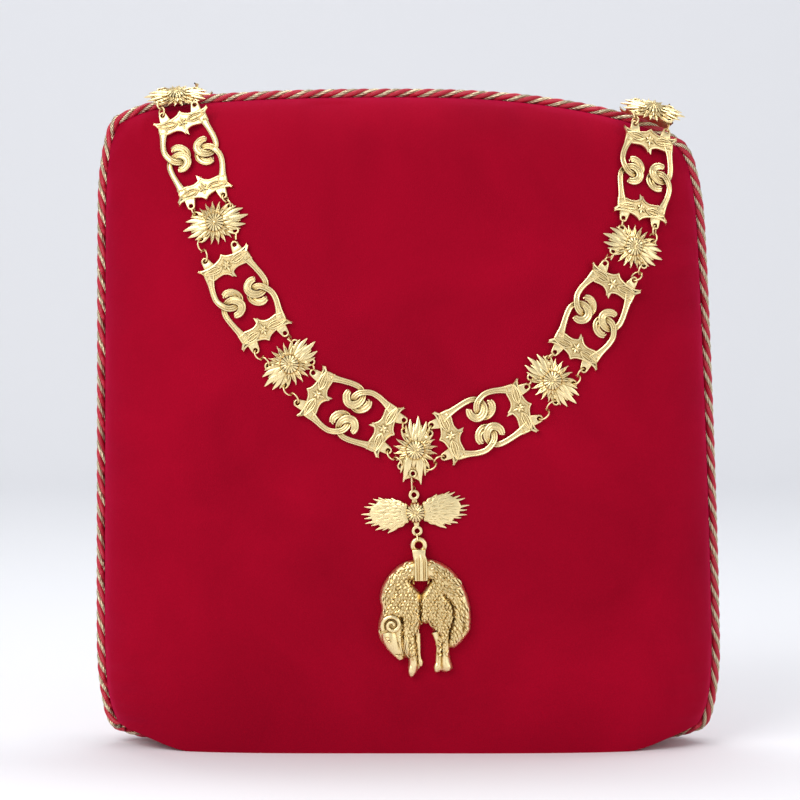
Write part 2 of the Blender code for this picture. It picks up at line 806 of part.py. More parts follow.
clear_scene()
COLLAR = new_collection("order collar")
HELPERS = new_collection("helpers", hidden=True)
GILT = finish("gilt", (0.83, 0.65, 0.30), 0.32, 1.0)
VELVET = finish("velvet", (0.38, 0.004, 0.02), 0.85, 0.0)
CORD = finish("cord", (0.55, 0.09, 0.09), 0.5, 0.0)

cushion = build_cushion()
piping = build_piping()
surface = BVHTree.FromObject(cushion, bpy.context.evaluated_depsgraph_get())

LUG_OFFSETS = {
    "steel": (STEEL_LUG_ACROSS, STEEL_LUG_ALONG),
    "flint": (FLINT_LUG_ACROSS, FLINT_LUG_ALONG),
}
FOOTPRINTS = {
    "steel": (STEEL_HALF_WIDTH, STEEL_HALF_LENGTH),
    "flint": (FLINT_HALF_SPAN, RAY_REACH),
}
front = []
for name, kind, x, drop, heading, tip in CHAIN_ROUTE:
    height = CUSHION_HEIGHT - drop
    frame = resting_frame(surface, x, height, heading, tip, *FOOTPRINTS[kind], LINK_LIFT)
    front.append((name, kind, frame))
tops = {name: top_frame(x, tilt, forward) for name, x, tilt, forward, _ in TOP_FLINTS}
back_tips = {name: tip for name, _, _, _, tip in TOP_FLINTS}
back = []
for name, kind, x, drop, heading, tip in CHAIN_ROUTE:
    tip = back_tips.get(name, tip)
    height = CUSHION_HEIGHT - drop + BACK_RISE
    frame = resting_frame(surface, x, height, heading, tip, *FOOTPRINTS[kind], LINK_LIFT)
    back.append((f"{name}_back", kind, to_back(frame)))
left_top = ("3L", "flint", tops["3L"])
right_top = ("3R", "flint", tops["3R"])
front_run = [left_top, *front, right_top]
back_run = [left_top, *back, right_top]

steel = steel_mesh()
flint = flint_mesh()
plain_steel = plain_steel_mesh()
plain_flint = flint_mesh(rays=PLAIN_RAYS, daisy=False)
hung_flint = flint_mesh([circle((-PENDANT_HOLE, 0), HOLE_RADIUS)])
for name, kind, frame in front_run:
    mesh = steel if kind == "steel" else hung_flint if name == "0" else flint
    new_object(f"{kind}_{name}", mesh, COLLAR, GILT, frame)
for k, (name, kind, frame) in enumerate(front_run):
    if kind == "steel":
        for side in (-1, 1):
            neighbour, _, flint_frame = front_run[k + side]
            rings = rings_of(frame, flint_frame, ring_lean(flint_frame))
            for place, ring in zip(("inner", "outer"), rings):
                new_object(f"ring_{name}_{neighbour}_{place}", ring, COLLAR, GILT)
for k, (name, kind, frame) in enumerate(back_run):
    if kind == "steel":
        rings = []
        for side in (-1, 1):
            flint_frame = back_run[k + side][2]
            rings += held_rings(frame, flint_frame, -ring_lean(flint_frame))
        new_object(f"steel_{name}", union([plain_steel.copy(), *rings]), COLLAR, GILT, frame)
    elif "back" in name:
        new_object(f"flint_{name}", plain_flint, COLLAR, GILT, frame)

bar_x, bar_drop, bar_heading = BAR_PLACE
bar_height = CUSHION_HEIGHT - bar_drop
bar_frame = resting_frame(
    surface, bar_x, bar_height, bar_heading, 0, BAR_HALF_SPAN, BAR_TOP_EYE, PENDANT_LIFT
)
fleece_x, eye_drop, fleece_heading = FLEECE_PLACE
fleece_height = CUSHION_HEIGHT - eye_drop + FLEECE_MIDDLE[1]
fleece_frame = resting_frame(
    surface, fleece_x, fleece_height, fleece_heading, 0, FLEECE_WIDTH / 2, FLEECE_HEIGHT / 2, PENDANT_LIFT
)
new_object("flint_bar", bar_mesh(), COLLAR, GILT, bar_frame)
new_object("fleece", fleece_mesh(), COLLAR, GILT, fleece_frame)

hung = dict((name, frame) for name, kind, frame in front if kind == "flint")["0"]
wing_hole = hung @ Vector((-PENDANT_HOLE, 0, PLATE_THICKNESS / 2))
bar_top = bar_frame @ Vector((0, BAR_TOP_EYE, BAR_THICKNESS / 2))
bar_low = bar_frame @ Vector((0, BAR_LOW_EYE, BAR_THICKNESS / 2))
eye_level = RELIEF / 2 + FLEECE_EYE_THICKNESS / 2
fleece_top = fleece_frame @ Vector((-FLEECE_MIDDLE[0], -FLEECE_MIDDLE[1], eye_level))
hung_out, bar_out, fleece_out = (frame.col[2].to_3d() for frame in (hung, bar_frame, fleece_frame))
upper_ring = ring_mesh(wing_hole, bar_top, hung_out, bar_out, RING_WIDTH, RING_LEAN)
lower_ring = ring_mesh(bar_low, fleece_top, bar_out, fleece_out, PENDANT_RING_WIDTH, PENDANT_RING_LEAN)
new_object("pendant_ring", upper_ring, COLLAR, GILT)
new_object("fleece_ring", lower_ring, COLLAR, GILT)
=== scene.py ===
# %% [markdown]
# # A gilt order collar on its velvet cushion
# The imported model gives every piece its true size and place. This lesson dresses it: the cast
# links, the little rings between them, the hanging ram, the velvet and the twisted cord in its
# seam. It starts by loading that frame, so all that follows is drawn in the same metres.

# %% Load the frame
import json
import math

import bmesh
import bpy
from mathutils import Matrix, Vector, noise

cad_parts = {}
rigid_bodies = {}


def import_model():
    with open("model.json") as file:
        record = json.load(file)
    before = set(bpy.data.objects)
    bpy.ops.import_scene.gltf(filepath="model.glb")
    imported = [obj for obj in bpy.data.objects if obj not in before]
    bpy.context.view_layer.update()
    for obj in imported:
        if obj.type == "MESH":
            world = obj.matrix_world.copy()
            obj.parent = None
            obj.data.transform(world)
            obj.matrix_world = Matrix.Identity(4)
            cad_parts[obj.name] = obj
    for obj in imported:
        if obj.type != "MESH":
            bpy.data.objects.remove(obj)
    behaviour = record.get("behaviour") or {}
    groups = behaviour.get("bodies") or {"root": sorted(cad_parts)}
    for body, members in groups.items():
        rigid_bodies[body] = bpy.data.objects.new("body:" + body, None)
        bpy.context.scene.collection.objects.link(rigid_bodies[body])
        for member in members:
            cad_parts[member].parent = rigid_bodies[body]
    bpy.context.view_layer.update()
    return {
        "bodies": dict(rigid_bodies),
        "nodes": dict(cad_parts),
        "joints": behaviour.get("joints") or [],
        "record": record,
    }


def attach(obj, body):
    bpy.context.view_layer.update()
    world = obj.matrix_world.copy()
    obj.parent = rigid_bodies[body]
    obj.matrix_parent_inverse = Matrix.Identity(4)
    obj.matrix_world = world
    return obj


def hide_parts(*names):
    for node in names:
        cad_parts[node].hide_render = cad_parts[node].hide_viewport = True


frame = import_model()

MM = 0.001
print("frame:", len(frame["nodes"]), "nodes")

# %% [markdown]
# ## Camera
# The photograph was taken from straight ahead with a long lens, looking down by a few degrees. The
# width that the picture covers is known at the cushion's front, so the lens follows from the
# camera's distance.

# %% Place the camera
VIEW_WIDTH = 400 * MM
VIEW_DISTANCE = 1.8
VIEW_DROP = math.radians(4)
SENSOR = 36
aim = Vector((-4.5, -35, 178.5)) * MM

lens = bpy.data.cameras.new("long lens")
lens.sensor_width = SENSOR
lens.lens = SENSOR * VIEW_DISTANCE / VIEW_WIDTH
camera = bpy.data.objects.new("camera", lens)
camera.location = aim + VIEW_DISTANCE * Vector((0, -math.cos(VIEW_DROP), math.sin(VIEW_DROP)))
camera.rotation_euler = (math.pi / 2 - VIEW_DROP, 0, 0)
bpy.context.scene.collection.objects.link(camera)
bpy.context.scene.camera = camera
print("lens:", round(lens.lens), "mm")

# %% [markdown]
# ## Studio
# Gilt metal is only as good as what it mirrors. A large soft window stands at the upper left, a
# weaker one at the right, and a strip above the back. The pale floor sweeps up into the wall
# behind, so no edge shows between them.

# %% Build the floor and hang the lights
SWEEP_RADIUS = 0.5
SWEEP_BACK = 1.4
FLOOR_HALF_WIDTH = 4.0
WALL_TOP = 3.0


def node_material(name):
    """A material and its node tree, with the shader it starts with."""
    material = bpy.data.materials.new(name)
    material.use_nodes = True
    tree = material.node_tree
    return material, tree, tree.nodes["Principled BSDF"]


def mesh_of(form, name):
    """The bmesh written out as a mesh, and freed."""
    mesh = bpy.data.meshes.new(name)
    form.to_mesh(mesh)
    form.free()
    return mesh


def sweep_floor():
    """A strip of floor that is spun up into a wall and drawn on to its top."""
    form = bmesh.new()
    front = [form.verts.new((x, -3, 0)) for x in (-FLOOR_HALF_WIDTH, FLOOR_HALF_WIDTH)]
    edge = form.edges.new(front)
    grown = bmesh.ops.extrude_edge_only(form, edges=[edge])["geom"]
    back = [v for v in grown if isinstance(v, bmesh.types.BMVert)]
    bmesh.ops.translate(form, verts=back, vec=(0, 3 + SWEEP_BACK, 0))
    edges = [e for e in grown if isinstance(e, bmesh.types.BMEdge)]
    turned = bmesh.ops.spin(
        form, geom=back + edges, cent=(0, SWEEP_BACK, SWEEP_RADIUS), axis=(1, 0, 0),
        angle=math.pi / 2, steps=16,
    )["geom_last"]
    rim = [e for e in turned if isinstance(e, bmesh.types.BMEdge)]
    grown = bmesh.ops.extrude_edge_only(form, edges=rim)["geom"]
    top = [v for v in grown if isinstance(v, bmesh.types.BMVert)]
    bmesh.ops.translate(form, verts=top, vec=(0, 0, WALL_TOP))
    mesh = mesh_of(form, "floor")
    mesh.shade_smooth()
    return mesh


floor = bpy.data.objects.new("floor", sweep_floor())
bpy.context.scene.collection.objects.link(floor)
paper, _, shader = node_material("studio paper")
shader.inputs["Base Color"].default_value = (0.88, 0.885, 0.905, 1)
shader.inputs["Roughness"].default_value = 0.9
floor.data.materials.append(paper)


def hang_light(name, place, look_at, size, power, colour=(1, 1, 1)):
    lamp = bpy.data.lights.new(name, "AREA")
    lamp.shape = "RECTANGLE"
    lamp.size, lamp.size_y = size
    lamp.energy = power
    lamp.color = colour
    holder = bpy.data.objects.new(name, lamp)
    holder.location = place
    holder.rotation_euler = (Vector(look_at) - Vector(place)).to_track_quat("-Z", "Y").to_euler()
    bpy.context.scene.collection.objects.link(holder)


middle = (0, 0, 0.18)
hang_light("window", (-1.0, -1.3, 1.25), middle, (1.3, 1.3), 22)
hang_light("fill", (1.5, -1.2, 0.7), middle, (1.2, 1.2), 7)
hang_light("top strip", (0.1, 0.35, 1.5), middle, (1.6, 0.4), 10)

# The plain transform keeps the crimson pure, where the filmic one veils it
bpy.context.scene.view_settings.view_transform = "Standard"
world = bpy.data.worlds.new("studio air")
world.use_nodes = True
world.node_tree.nodes["Background"].inputs["Color"].default_value = (0.93, 0.95, 1.0, 1)
world.node_tree.nodes["Background"].inputs["Strength"].default_value = 0.55
bpy.context.scene.world = world
print("studio: 3 lights")

# %% [markdown]
# ## Gilt
# The links are cast brass with a thin satin gilding. It is a pale warm metal whose shine varies
# from spot to spot: a soft noise drives the roughness and a finer one gives the cast skin a faint
# grain. Shade is also painted into its colour: an occlusion test paints the hollows dark brown and
# the open crests paler.

# %% Make the gilt
def link_nodes(tree, source, output, target, socket):
    tree.links.new(source.outputs[output], target.inputs[socket])


def add_node(tree, kind, **values):
    node = tree.nodes.new(kind)
    for name, value in values.items():
        if name in node.inputs:
            node.inputs[name].default_value = value
        else:
            setattr(node, name, value)
    return node


def colour_ramp(tree, stops):
    ramp = tree.nodes.new("ShaderNodeValToRGB")
    for k, (place, colour) in enumerate(stops):
        stop = ramp.color_ramp.elements[k] if k < 2 else ramp.color_ramp.elements.new(place)
        stop.position = place
        stop.color = (*colour, 1)
    return ramp


def gilt_material():
    material, tree, shader = node_material("satin gilt")
    shader.inputs["Metallic"].default_value = 1.0
    place = tree.nodes.new("ShaderNodeTexCoord")
    # Painted shade: how hidden each spot is darkens the colour of the hollows below
    occlusion_shade = add_node(tree, "ShaderNodeAmbientOcclusion", samples=4, Distance=2.2 * MM)
    # Painted shade dark brown in the hollows, the middle tone, and the open crests painted paler
    tone = colour_ramp(tree, [
        (0.28, (0.11, 0.045, 0.007)), (0.66, (0.70, 0.46, 0.15)), (0.97, (0.97, 0.80, 0.44)),
    ])
    link_nodes(tree, occlusion_shade, "AO", tone, "Fac")
    link_nodes(tree, tone, "Color", shader, "Base Color")
    cloud = add_node(tree, "ShaderNodeTexNoise", Scale=220.0, Detail=3.0)
    link_nodes(tree, place, "Object", cloud, "Vector")
    spread = tree.nodes.new("ShaderNodeMapRange")
    spread.inputs["To Min"].default_value = 0.26
    spread.inputs["To Max"].default_value = 0.46
    link_nodes(tree, cloud, "Fac", spread, "Value")
    link_nodes(tree, spread, "Result", shader, "Roughness")
    skin = add_node(tree, "ShaderNodeTexNoise", Scale=1500.0, Detail=2.0)
    link_nodes(tree, place, "Object", skin, "Vector")
    bump = add_node(tree, "ShaderNodeBump", Strength=0.25, Distance=0.06 * MM)
    link_nodes(tree, skin, "Fac", bump, "Height")
    link_nodes(tree, bump, "Normal", shader, "Normal")
    return material


GILT = gilt_material()
print("material:", GILT.name)

# %% [markdown]
# ## Casting tools
# A cast link is flat plates with rounded edges, and ridges that taper on top of them. A plate is an
# outline, filled, extruded and then inset twice with a little rise, which rounds its rim. A ridge is
# a disc extruded along a path, with its own thickness at each point. Both are drawn in millimetres
# in the link's own frame, u across the chain, v along it and w towards the eye, and made one mesh.

# %% Draw plates and ridges
EDGE_ROUND = 0.35


def smooth_path(points, steps=5, closed=False):
    """A curve through the points, of any number of numbers each, that passes every one of them."""
    count = len(points)
    spans = count if closed else count - 1
    path = []
    for k in range(spans):
        at = [k - 1, k, k + 1, k + 2]
        near = [Vector(points[i % count] if closed else points[min(max(i, 0), count - 1)]) for i in at]
        for step in range(steps):
            t = step / steps
            a = 2 * near[1]
            b = (near[2] - near[0]) * t
            c = (2 * near[0] - 5 * near[1] + 4 * near[2] - near[3]) * t * t
            d = (3 * near[1] - near[0] - 3 * near[2] + near[3]) * t**3
            path.append((a + b + c + d) / 2)
    if not closed:
        path.append(Vector(points[-1]))
    return path


def ring_of_points(centre, radius, count=20):
    turns = [2 * math.pi * k / count for k in range(count)]
    return [Vector((centre[0] + radius * math.cos(a), centre[1] + radius * math.sin(a))) for a in turns]


def plate(outlines, low, high, edge=EDGE_ROUND, rim=0.0):
    """A flat casting with a rounded upper edge; the outlines after the first are holes.
    With a rim, the face inside it is sunk a little."""
    form = bmesh.new()
    edges = []
    for outline in outlines:
        verts = [form.verts.new((p[0], p[1], low)) for p in outline]
        edges += [form.edges.new((verts[k - 1], verts[k])) for k in range(len(verts))]
    bmesh.ops.triangle_fill(form, use_beauty=True, edges=edges)
    for face in form.faces:
        face.normal_update()
        if face.normal.z < 0:
            face.normal_flip()
    grown = bmesh.ops.extrude_face_region(form, geom=form.faces[:], use_keep_orig=True)["geom"]
    top = [g for g in grown if isinstance(g, bmesh.types.BMFace)]
    verts = [g for g in grown if isinstance(g, bmesh.types.BMVert)]
    bmesh.ops.translate(form, verts=verts, vec=(0, 0, high - low - edge))
    steps = [(edge * 0.35, edge * 0.6), (edge * 0.65, edge * 0.4)]
    if rim:
        steps += [(rim, 0.0), (0.2, -0.4)]
    for width, rise in steps:
        bmesh.ops.inset_region(form, faces=top, thickness=width, depth=rise, use_even_offset=True)
    bmesh.ops.recalc_face_normals(form, faces=form.faces)
    return mesh_of(form, "plate")


def ridges(paths, sides=6, flat=1.0):
    """Tapered ridges, one for each path of (u, v, w, radius): a disc that is extruded on and on."""
    whole = bmesh.new()
    for path in paths:
        form = bmesh.new()
        disc = bmesh.ops.create_circle(form, cap_ends=True, segments=sides, radius=1.0)["verts"]
        face = disc[0].link_faces[0]
        spots = [Vector(point[:3]) for point in path]
        steep = any(abs((b - a).normalized().z) > 0.95 for a, b in zip(spots, spots[1:]))
        up = Vector((0, 1, 0)) if steep else Vector((0, 0, 1))
        before = Matrix.Identity(4)
        for k, (spot, point) in enumerate(zip(spots, path)):
            ahead = (spots[min(k + 1, len(spots) - 1)] - spots[max(k - 1, 0)]).normalized()
            side = ahead.cross(up).normalized()
            over = side.cross(ahead) * point[3] * flat
            frame = Matrix((side * point[3], over, ahead)).transposed().to_4x4()
            frame.translation = spot
            if k:
                grown = bmesh.ops.extrude_face_region(form, geom=[face])["geom"]
                face = next(g for g in grown if isinstance(g, bmesh.types.BMFace))
            bmesh.ops.transform(form, matrix=frame @ before.inverted(), verts=face.verts)
            before = frame
        bmesh.ops.recalc_face_normals(form, faces=form.faces)
        part = mesh_of(form, "ridge")
        whole.from_mesh(part)
        bpy.data.meshes.remove(part)
    mesh = bpy.data.meshes.new("ridges")
    whole.to_mesh(mesh)
    whole.free()
    return mesh


def gather(meshes, turn=False):
    """One mesh from many; turn adds a second set turned half round the link's axis."""
    form = bmesh.new()
    for mesh in meshes:
        form.from_mesh(mesh)
        if turn:
            copy = mesh.copy()
            copy.transform(Matrix.Rotation(math.pi, 4, "Z"))
            form.from_mesh(copy)
    bmesh.ops.remove_doubles(form, verts=form.verts, dist=0.0005)
    mesh = mesh_of(form, "casting")
    mesh.shade_smooth()
    mesh.set_sharp_from_angle(angle=math.radians(50))
    return mesh


def place_casting(name, mesh, frame_matrix, material, slot, *nodes):
    """A copy of a casting at its place in the world, riding on the one body."""
    copy = mesh.copy()
    copy.transform(frame_matrix @ Matrix.Scale(MM, 4))
    copy.name = name
    copy.materials.clear()
    copy.materials.append(material)
    piece = bpy.data.objects.new(name, copy)
    bpy.context.scene.collection.objects.link(piece)
    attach(piece, "root")
    if nodes:
        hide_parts(*nodes)
    return piece


print("tools: plate, ridges, gather")

# %% [markdown]
# ## Steel link
# The fire steel is a frame of two end plates held by four arms. The plates have horned corners and a
# cusp in the middle of both edges, with a small knot and long almond panels raised on them. Each
# arm is a grooved band that ends in a hook, and the two hooks of a side cross through each other.
# Half of it is drawn, and the other half is the same turned round.

# %% Model the steel link
PLATE_TOP = 1.5
KNOT_ALONG = 18.5
LUG_RADIUS = 2.0
LUG_HOLE = 1.05
STEEL_LUG = (8.5, 25.4)
STEEL_EDGE = [
    (-14.3, 23.6), (-12.9, 22.5), (-11.0, 22.0), (-8.5, 21.8), (-5.6, 22.0), (-3.0, 22.6), (-1.2, 23.5),
    (0.1, 24.8), (1.4, 23.5), (3.2, 22.6), (5.8, 22.0), (8.7, 21.8), (11.2, 22.0), (13.0, 22.5), (14.3, 23.6),
]
STEEL_SIDE = [(13.1, 21.5), (12.5, 19.3), (12.6, 17.2), (13.0, 15.2)]
STEEL_INNER = [
    (11.0, 15.3), (9.0, 14.6), (6.6, 14.9), (4.2, 15.0), (2.2, 14.3), (0.9, 13.1), (0.0, 11.8),
    (-0.9, 13.1), (-2.2, 14.3), (-4.2, 15.0), (-6.6, 14.9), (-9.0, 14.6), (-11.0, 15.3),
]
# The left arms' middle lines, from the plate to the hook's end. The two hooks lock into each other: the
# upper arm crosses over the lower one first and then dives under its hook.
# Columns: across, along, height, half width
UPPER_ARM = [
    (-9.8, 19.6, 0.8, 2.7), (-10.6, 17.0, 0.9, 2.2), (-11.5, 14.2, 1.0, 1.5), (-12.3, 11.6, 1.1, 1.2),
    (-13.0, 8.8, 1.3, 1.15),
    (-13.2, 5.3, 1.7, 1.15), (-12.1, 2.1, 2.2, 1.2), (-9.8, -0.8, 2.1, 1.3), (-6.6, -1.8, 1.5, 1.5),
    (-3.6, -0.6, 0.8, 1.7), (-2.6, 2.2, 0.9, 1.75), (-4.2, 5.0, 1.2, 1.75), (-6.8, 6.2, 1.4, 1.6),
    (-8.9, 5.7, 1.4, 1.25),
]
LOWER_ARM = [
    (-9.8, -19.6, 0.8, 2.7), (-10.5, -17.0, 0.9, 2.2), (-11.1, -14.0, 1.0, 1.5), (-11.9, -10.5, 1.0, 1.2),
    (-12.8, -5.8, 0.9, 1.15),
    (-12.8, -1.8, 0.7, 1.15), (-10.9, 1.1, 0.8, 1.25), (-7.8, 2.2, 1.6, 1.45), (-4.8, 1.0, 2.3, 1.7),
    (-3.2, -1.5, 2.4, 1.75), (-3.8, -4.0, 2.2, 1.75), (-6.2, -5.6, 2.0, 1.65), (-8.6, -5.6, 1.9, 1.25),
]
ARM_FLAT = 0.22


def beside(path, share):
    """The path moved sideways by a share of its half width, as a thin raised line."""
    moved = []
    for k, point in enumerate(path):
        ahead = path[min(k + 1, len(path) - 1)] - path[max(k - 1, 0)]
        side = Vector((-ahead[1], ahead[0])).normalized() * point[3] * share
        moved.append((point[0] + side.x, point[1] + side.y, point[2] + 0.28, 0.42))
    return moved


def arm(points):
    """A flat band with raised borders, and a third ridge along the middle of its hook."""
    path = smooth_path(points, 4)
    bed = [(p[0], p[1], p[2], p[3] + 0.2) for p in path]
    middle = beside(path[len(path) // 2:], 0)
    borders = [beside(path, 0.82), beside(path, -0.82)]
    u, v, w, half = path[-1]
    cap = [(u, v, w, half + 0.15), (u - 0.5, v + 0.2, w, half * 0.6)]
    return [ridges([bed, cap], sides=10, flat=ARM_FLAT), ridges([*borders, middle], sides=6)]


def lug(across, along, root_across, root_along):
    """An ear with a round hole for the rings, on a tab that widens towards its root."""
    ear = Vector((across, along))
    out = (ear - Vector((root_across, root_along))).normalized()
    side = Vector((-out.y, out.x))
    turns = [math.radians(a) for a in range(-80, 81, 20)]
    tab = [ear + (out * math.cos(a) + side * math.sin(a)) * LUG_RADIUS for a in turns]
    root = Vector((root_across, root_along))
    outline = [*tab, root + side * LUG_RADIUS * 1.45, root - side * LUG_RADIUS * 1.45]
    return plate([outline, ring_of_points(ear, LUG_HOLE, 14)], 0.1, 1.2)


def almond(way, bow, width):
    """Half of a long leaf's outline on a plate, from the knot towards a horned corner."""
    spots = ((2.4, 0.0), (4.4, 0.8), (7.0, 1.0), (9.6, 0.7), (12.2, 0.15))
    low = PLATE_TOP - 0.12
    return [(u, KNOT_ALONG + 0.1 * u * 0.9 + way * bow * rise, low, width) for u, rise in spots]


def steel_casting():
    side = smooth_path(STEEL_SIDE, 2)
    mirrored = [Vector((-p[0], p[1])) for p in side[::-1]]
    outline = smooth_path(STEEL_EDGE, 2) + side + smooth_path(STEEL_INNER, 2) + mirrored
    leaves = [almond(way, bow, width) for way in (-1, 1) for bow, width in ((1.9, 0.34), (0.85, 0.30))]
    leaves += [[(-u, v, w, r) for u, v, w, r in leaf] for leaf in leaves]
    knot = []
    swells = ((0.05, 0.15, 0.35), (0.45, 0.1, 0.55), (0.8, -0.05, 0.35), (1.0, -0.2, 0.12))
    for turn, length in ((35, 2.6), (145, 2.6), (215, 2.6), (325, 2.6), (90, 3.4), (270, 3.8)):
        reach = Vector((math.cos(math.radians(turn)), math.sin(math.radians(turn)))) * length
        knot.append([
            (reach.x * t, KNOT_ALONG + reach.y * t, PLATE_TOP + lift, width)
            for t, lift, width in swells
        ])
    relief = ridges([smooth_path(line, 3) for line in leaves + knot])
    parts = [plate([outline], 0.0, PLATE_TOP, rim=0.5), relief]
    parts += arm(UPPER_ARM) + arm(LOWER_ARM)
    for way in (-1, 1):
        parts.append(lug(way * STEEL_LUG[0], STEEL_LUG[1], way * (STEEL_LUG[0] - 0.4), 21.0))
    return gather(parts, turn=True)


steel_mesh = steel_casting()
print("steel:", len(steel_mesh.polygons), "faces")

# %% [markdown]
# ## Flint link
# The flint between two steels throws sparks: a fluted boss like a daisy, thin curved rays towards
# both steels, and a wing of flame tongues to each side. Every ray and tongue is one tapered ridge
# with a little sway, laid over a thin plate that carries the four ears.

# %% Model the flint link
FLINT_LUG = (8.8, 6.2)
PETALS = 16
# A wing's tongues. Columns: root across and along, tip across and along, radius, height, sway
WING_TONGUES = [
    (3.5, 0.0, 16.8, 0.2, 1.55, 1.5, 0.55),
    (3.5, 1.8, 15.0, 4.0, 1.35, 1.3, -0.6),
    (3.5, -1.8, 14.5, -4.1, 1.35, 1.3, 0.6),
    (3.0, 3.0, 11.9, 5.9, 1.05, 1.0, -0.4),
    (3.0, -3.0, 11.6, -5.8, 1.05, 1.0, 0.4),
    (3.5, 0.9, 13.0, 2.0, 0.95, 2.2, 0.45),
    (3.5, -0.9, 12.6, -1.9, 0.95, 2.2, -0.45),
    (4.0, 0.1, 10.4, 0.1, 0.8, 2.7, 0.3),
]


def tongue(root, tip, radius, height, sway, bends=1.0):
    """One flame: it swells a little past its root, sways and runs out to a point."""
    root, tip = Vector(root), Vector(tip)
    along = tip - root
    side = Vector((-along.y, along.x)).normalized() * sway
    path = []
    shape = ((0, 0.8), (0.15, 0.92), (0.3, 1.0), (0.45, 1.0), (0.6, 0.9), (0.75, 0.7), (0.9, 0.4), (1, 0.1))
    for t, swell in shape:
        spot = root + along * t + side * math.sin(2 * math.pi * bends * t) * (1 - t * t)
        path.append((spot.x, spot.y, height - 0.75 * height * t**2 + 0.35 * t, radius * swell))
    return smooth_path(path, 2)


def daisy(radius, low, high, petals, middle=(0, 0)):
    """A fluted boss of petals that fall from a small point in the middle."""
    paths = []
    for k in range(petals):
        a = 2 * math.pi * k / petals
        c, s = math.cos(a), math.sin(a)
        width = 0.86 * math.pi * radius / petals
        fall = high - low
        steps = (
            (0.14, 0.90, 0.15), (0.35, 1.0, 0.36), (0.62, 0.86, 0.62), (0.88, 0.5, 0.88), (1.02, 0.1, 0.8),
        )
        paths.append([
            (middle[0] + radius * r * c, middle[1] + radius * r * s, low + fall * h, width * wide)
            for r, h, wide in steps
        ])
    paths.append([(*middle, high - 1.2, 0.9), (*middle, high - 0.25, 0.75), (*middle, high - 0.1, 0.3)])
    return ridges(paths)


def flint_rays():
    """Two rows of rays towards one steel, the lower row longer."""
    paths = []
    for count, reach, height, radius, spread in ((9, 11.0, 0.9, 0.62, 39), (8, 8.4, 1.75, 0.6, 44)):
        for k in range(count):
            a = math.radians(90 + spread * (2 * k / (count - 1) - 1))
            length = reach * (1.0 if k % 2 == 0 else 0.9)
            bend = 0.09 * (1 if k % 2 else -1)
            path = []
            for t, swell in ((0, 0.8), (0.35, 1.0), (0.65, 0.75), (0.87, 0.42), (1, 0.12)):
                r = 3.6 + (length - 3.6) * t
                turned = a + bend * t * t
                rise = height + 0.5 * (1 - t)
                path.append((r * math.cos(turned), r * math.sin(turned), rise, radius * swell))
            paths.append(smooth_path(path, 2))
    return paths


def oval(half_across, half_along, middle=(0, 0), count=36):
    turns = [2 * math.pi * k / count for k in range(count)]
    u, v = middle
    return [Vector((u + half_across * math.cos(a), v + half_along * math.sin(a))) for a in turns]


# The solid lower wing of the flint that the pendant hangs from
HUNG_WING = [Vector(p) for p in (
    (-3.0, 4.9), (-8.0, 5.0), (-12.0, 4.9), (-15.6, 4.2), (-14.7, 2.4), (-14.2, 0.8), (-14.2, -0.8),
    (-14.7, -2.4), (-15.6, -4.2), (-12.0, -4.9), (-8.0, -5.0), (-3.0, -4.9),
)]


def flint_casting(hung=False):
    bed = oval(13.2, 5.2)
    if hung:
        bed = [Vector((max(p[0], 0) + min(p[0], 0) * 0.7, p[1])) for p in bed]
    wings = [tongue((a, b), (c, d), *shape) for a, b, c, d, *shape in WING_TONGUES]
    ears = [tongue((6.0, 4.3), (8.4, 5.9), 0.9, 1.2, 0), tongue((-6.0, 4.3), (-8.4, 5.9), 0.9, 1.2, 0)]
    parts = [ridges(flint_rays()), ridges(ears)]
    parts += [lug(way * FLINT_LUG[0], FLINT_LUG[1], way * 5.2, 3.4) for way in (1, -1)]
    lower_tongues = WING_TONGUES
    if hung:
        lower_tongues = [
            (3.5, 0.0, 9.6, 0.0, 1.1, 1.9, 0.2),
            (3.5, 1.4, 12.8, 3.2, 1.2, 1.9, 0.3), (3.5, -1.4, 12.8, -3.2, 1.2, 1.9, -0.3),
            (3.5, 2.6, 16.9, 4.5, 1.3, 1.9, 0.5), (3.5, -2.6, 16.6, -4.4, 1.3, 1.9, -0.5),
            (3.0, 4.0, 12.4, 6.2, 1.0, 1.5, -0.4), (3.0, -4.0, 12.2, -6.1, 1.0, 1.5, 0.4),
        ]
    lower = ridges([tongue((a, b), (c, d), *shape) for a, b, c, d, *shape in lower_tongues], flat=0.72)
    lower.transform(Matrix.Rotation(math.pi, 4, "Z"))
    whole = [
        gather(parts, turn=True),
        ridges(wings, flat=0.72),
        lower,
        plate([bed], 0.0, 1.1),
        plate([ring_of_points((0, 0), 6.4, 28)], 0.2, 1.9),
        plate([ring_of_points((0, 0), 3.6, 24)], 1.4, 3.2, edge=1.2),
        daisy(4.6, 2.2, 4.0, PETALS),
        daisy(5.9, 1.3, 2.2, PETALS + 4),
    ]
    if hung:
        hole = ring_of_points((-11.9, 0), LUG_HOLE, 14)
        whole.append(plate([HUNG_WING, hole], 0.0, 1.1, edge=0.2))
        whole.append(plate([ring_of_points((-11.9, 0), 2.1, 20), hole], 0.4, 1.7))
    return gather(whole)


flint_mesh = flint_casting()
hung_flint_mesh = flint_casting(hung=True)
print("flint:", len(flint_mesh.polygons), "faces")

# %% [markdown]
# ## Where the links lie
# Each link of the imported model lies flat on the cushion, so it has a centre, a direction along the
# chain and one out of the velvet. They are written here once, in millimetres, and every casting and
# ring takes its place from them.

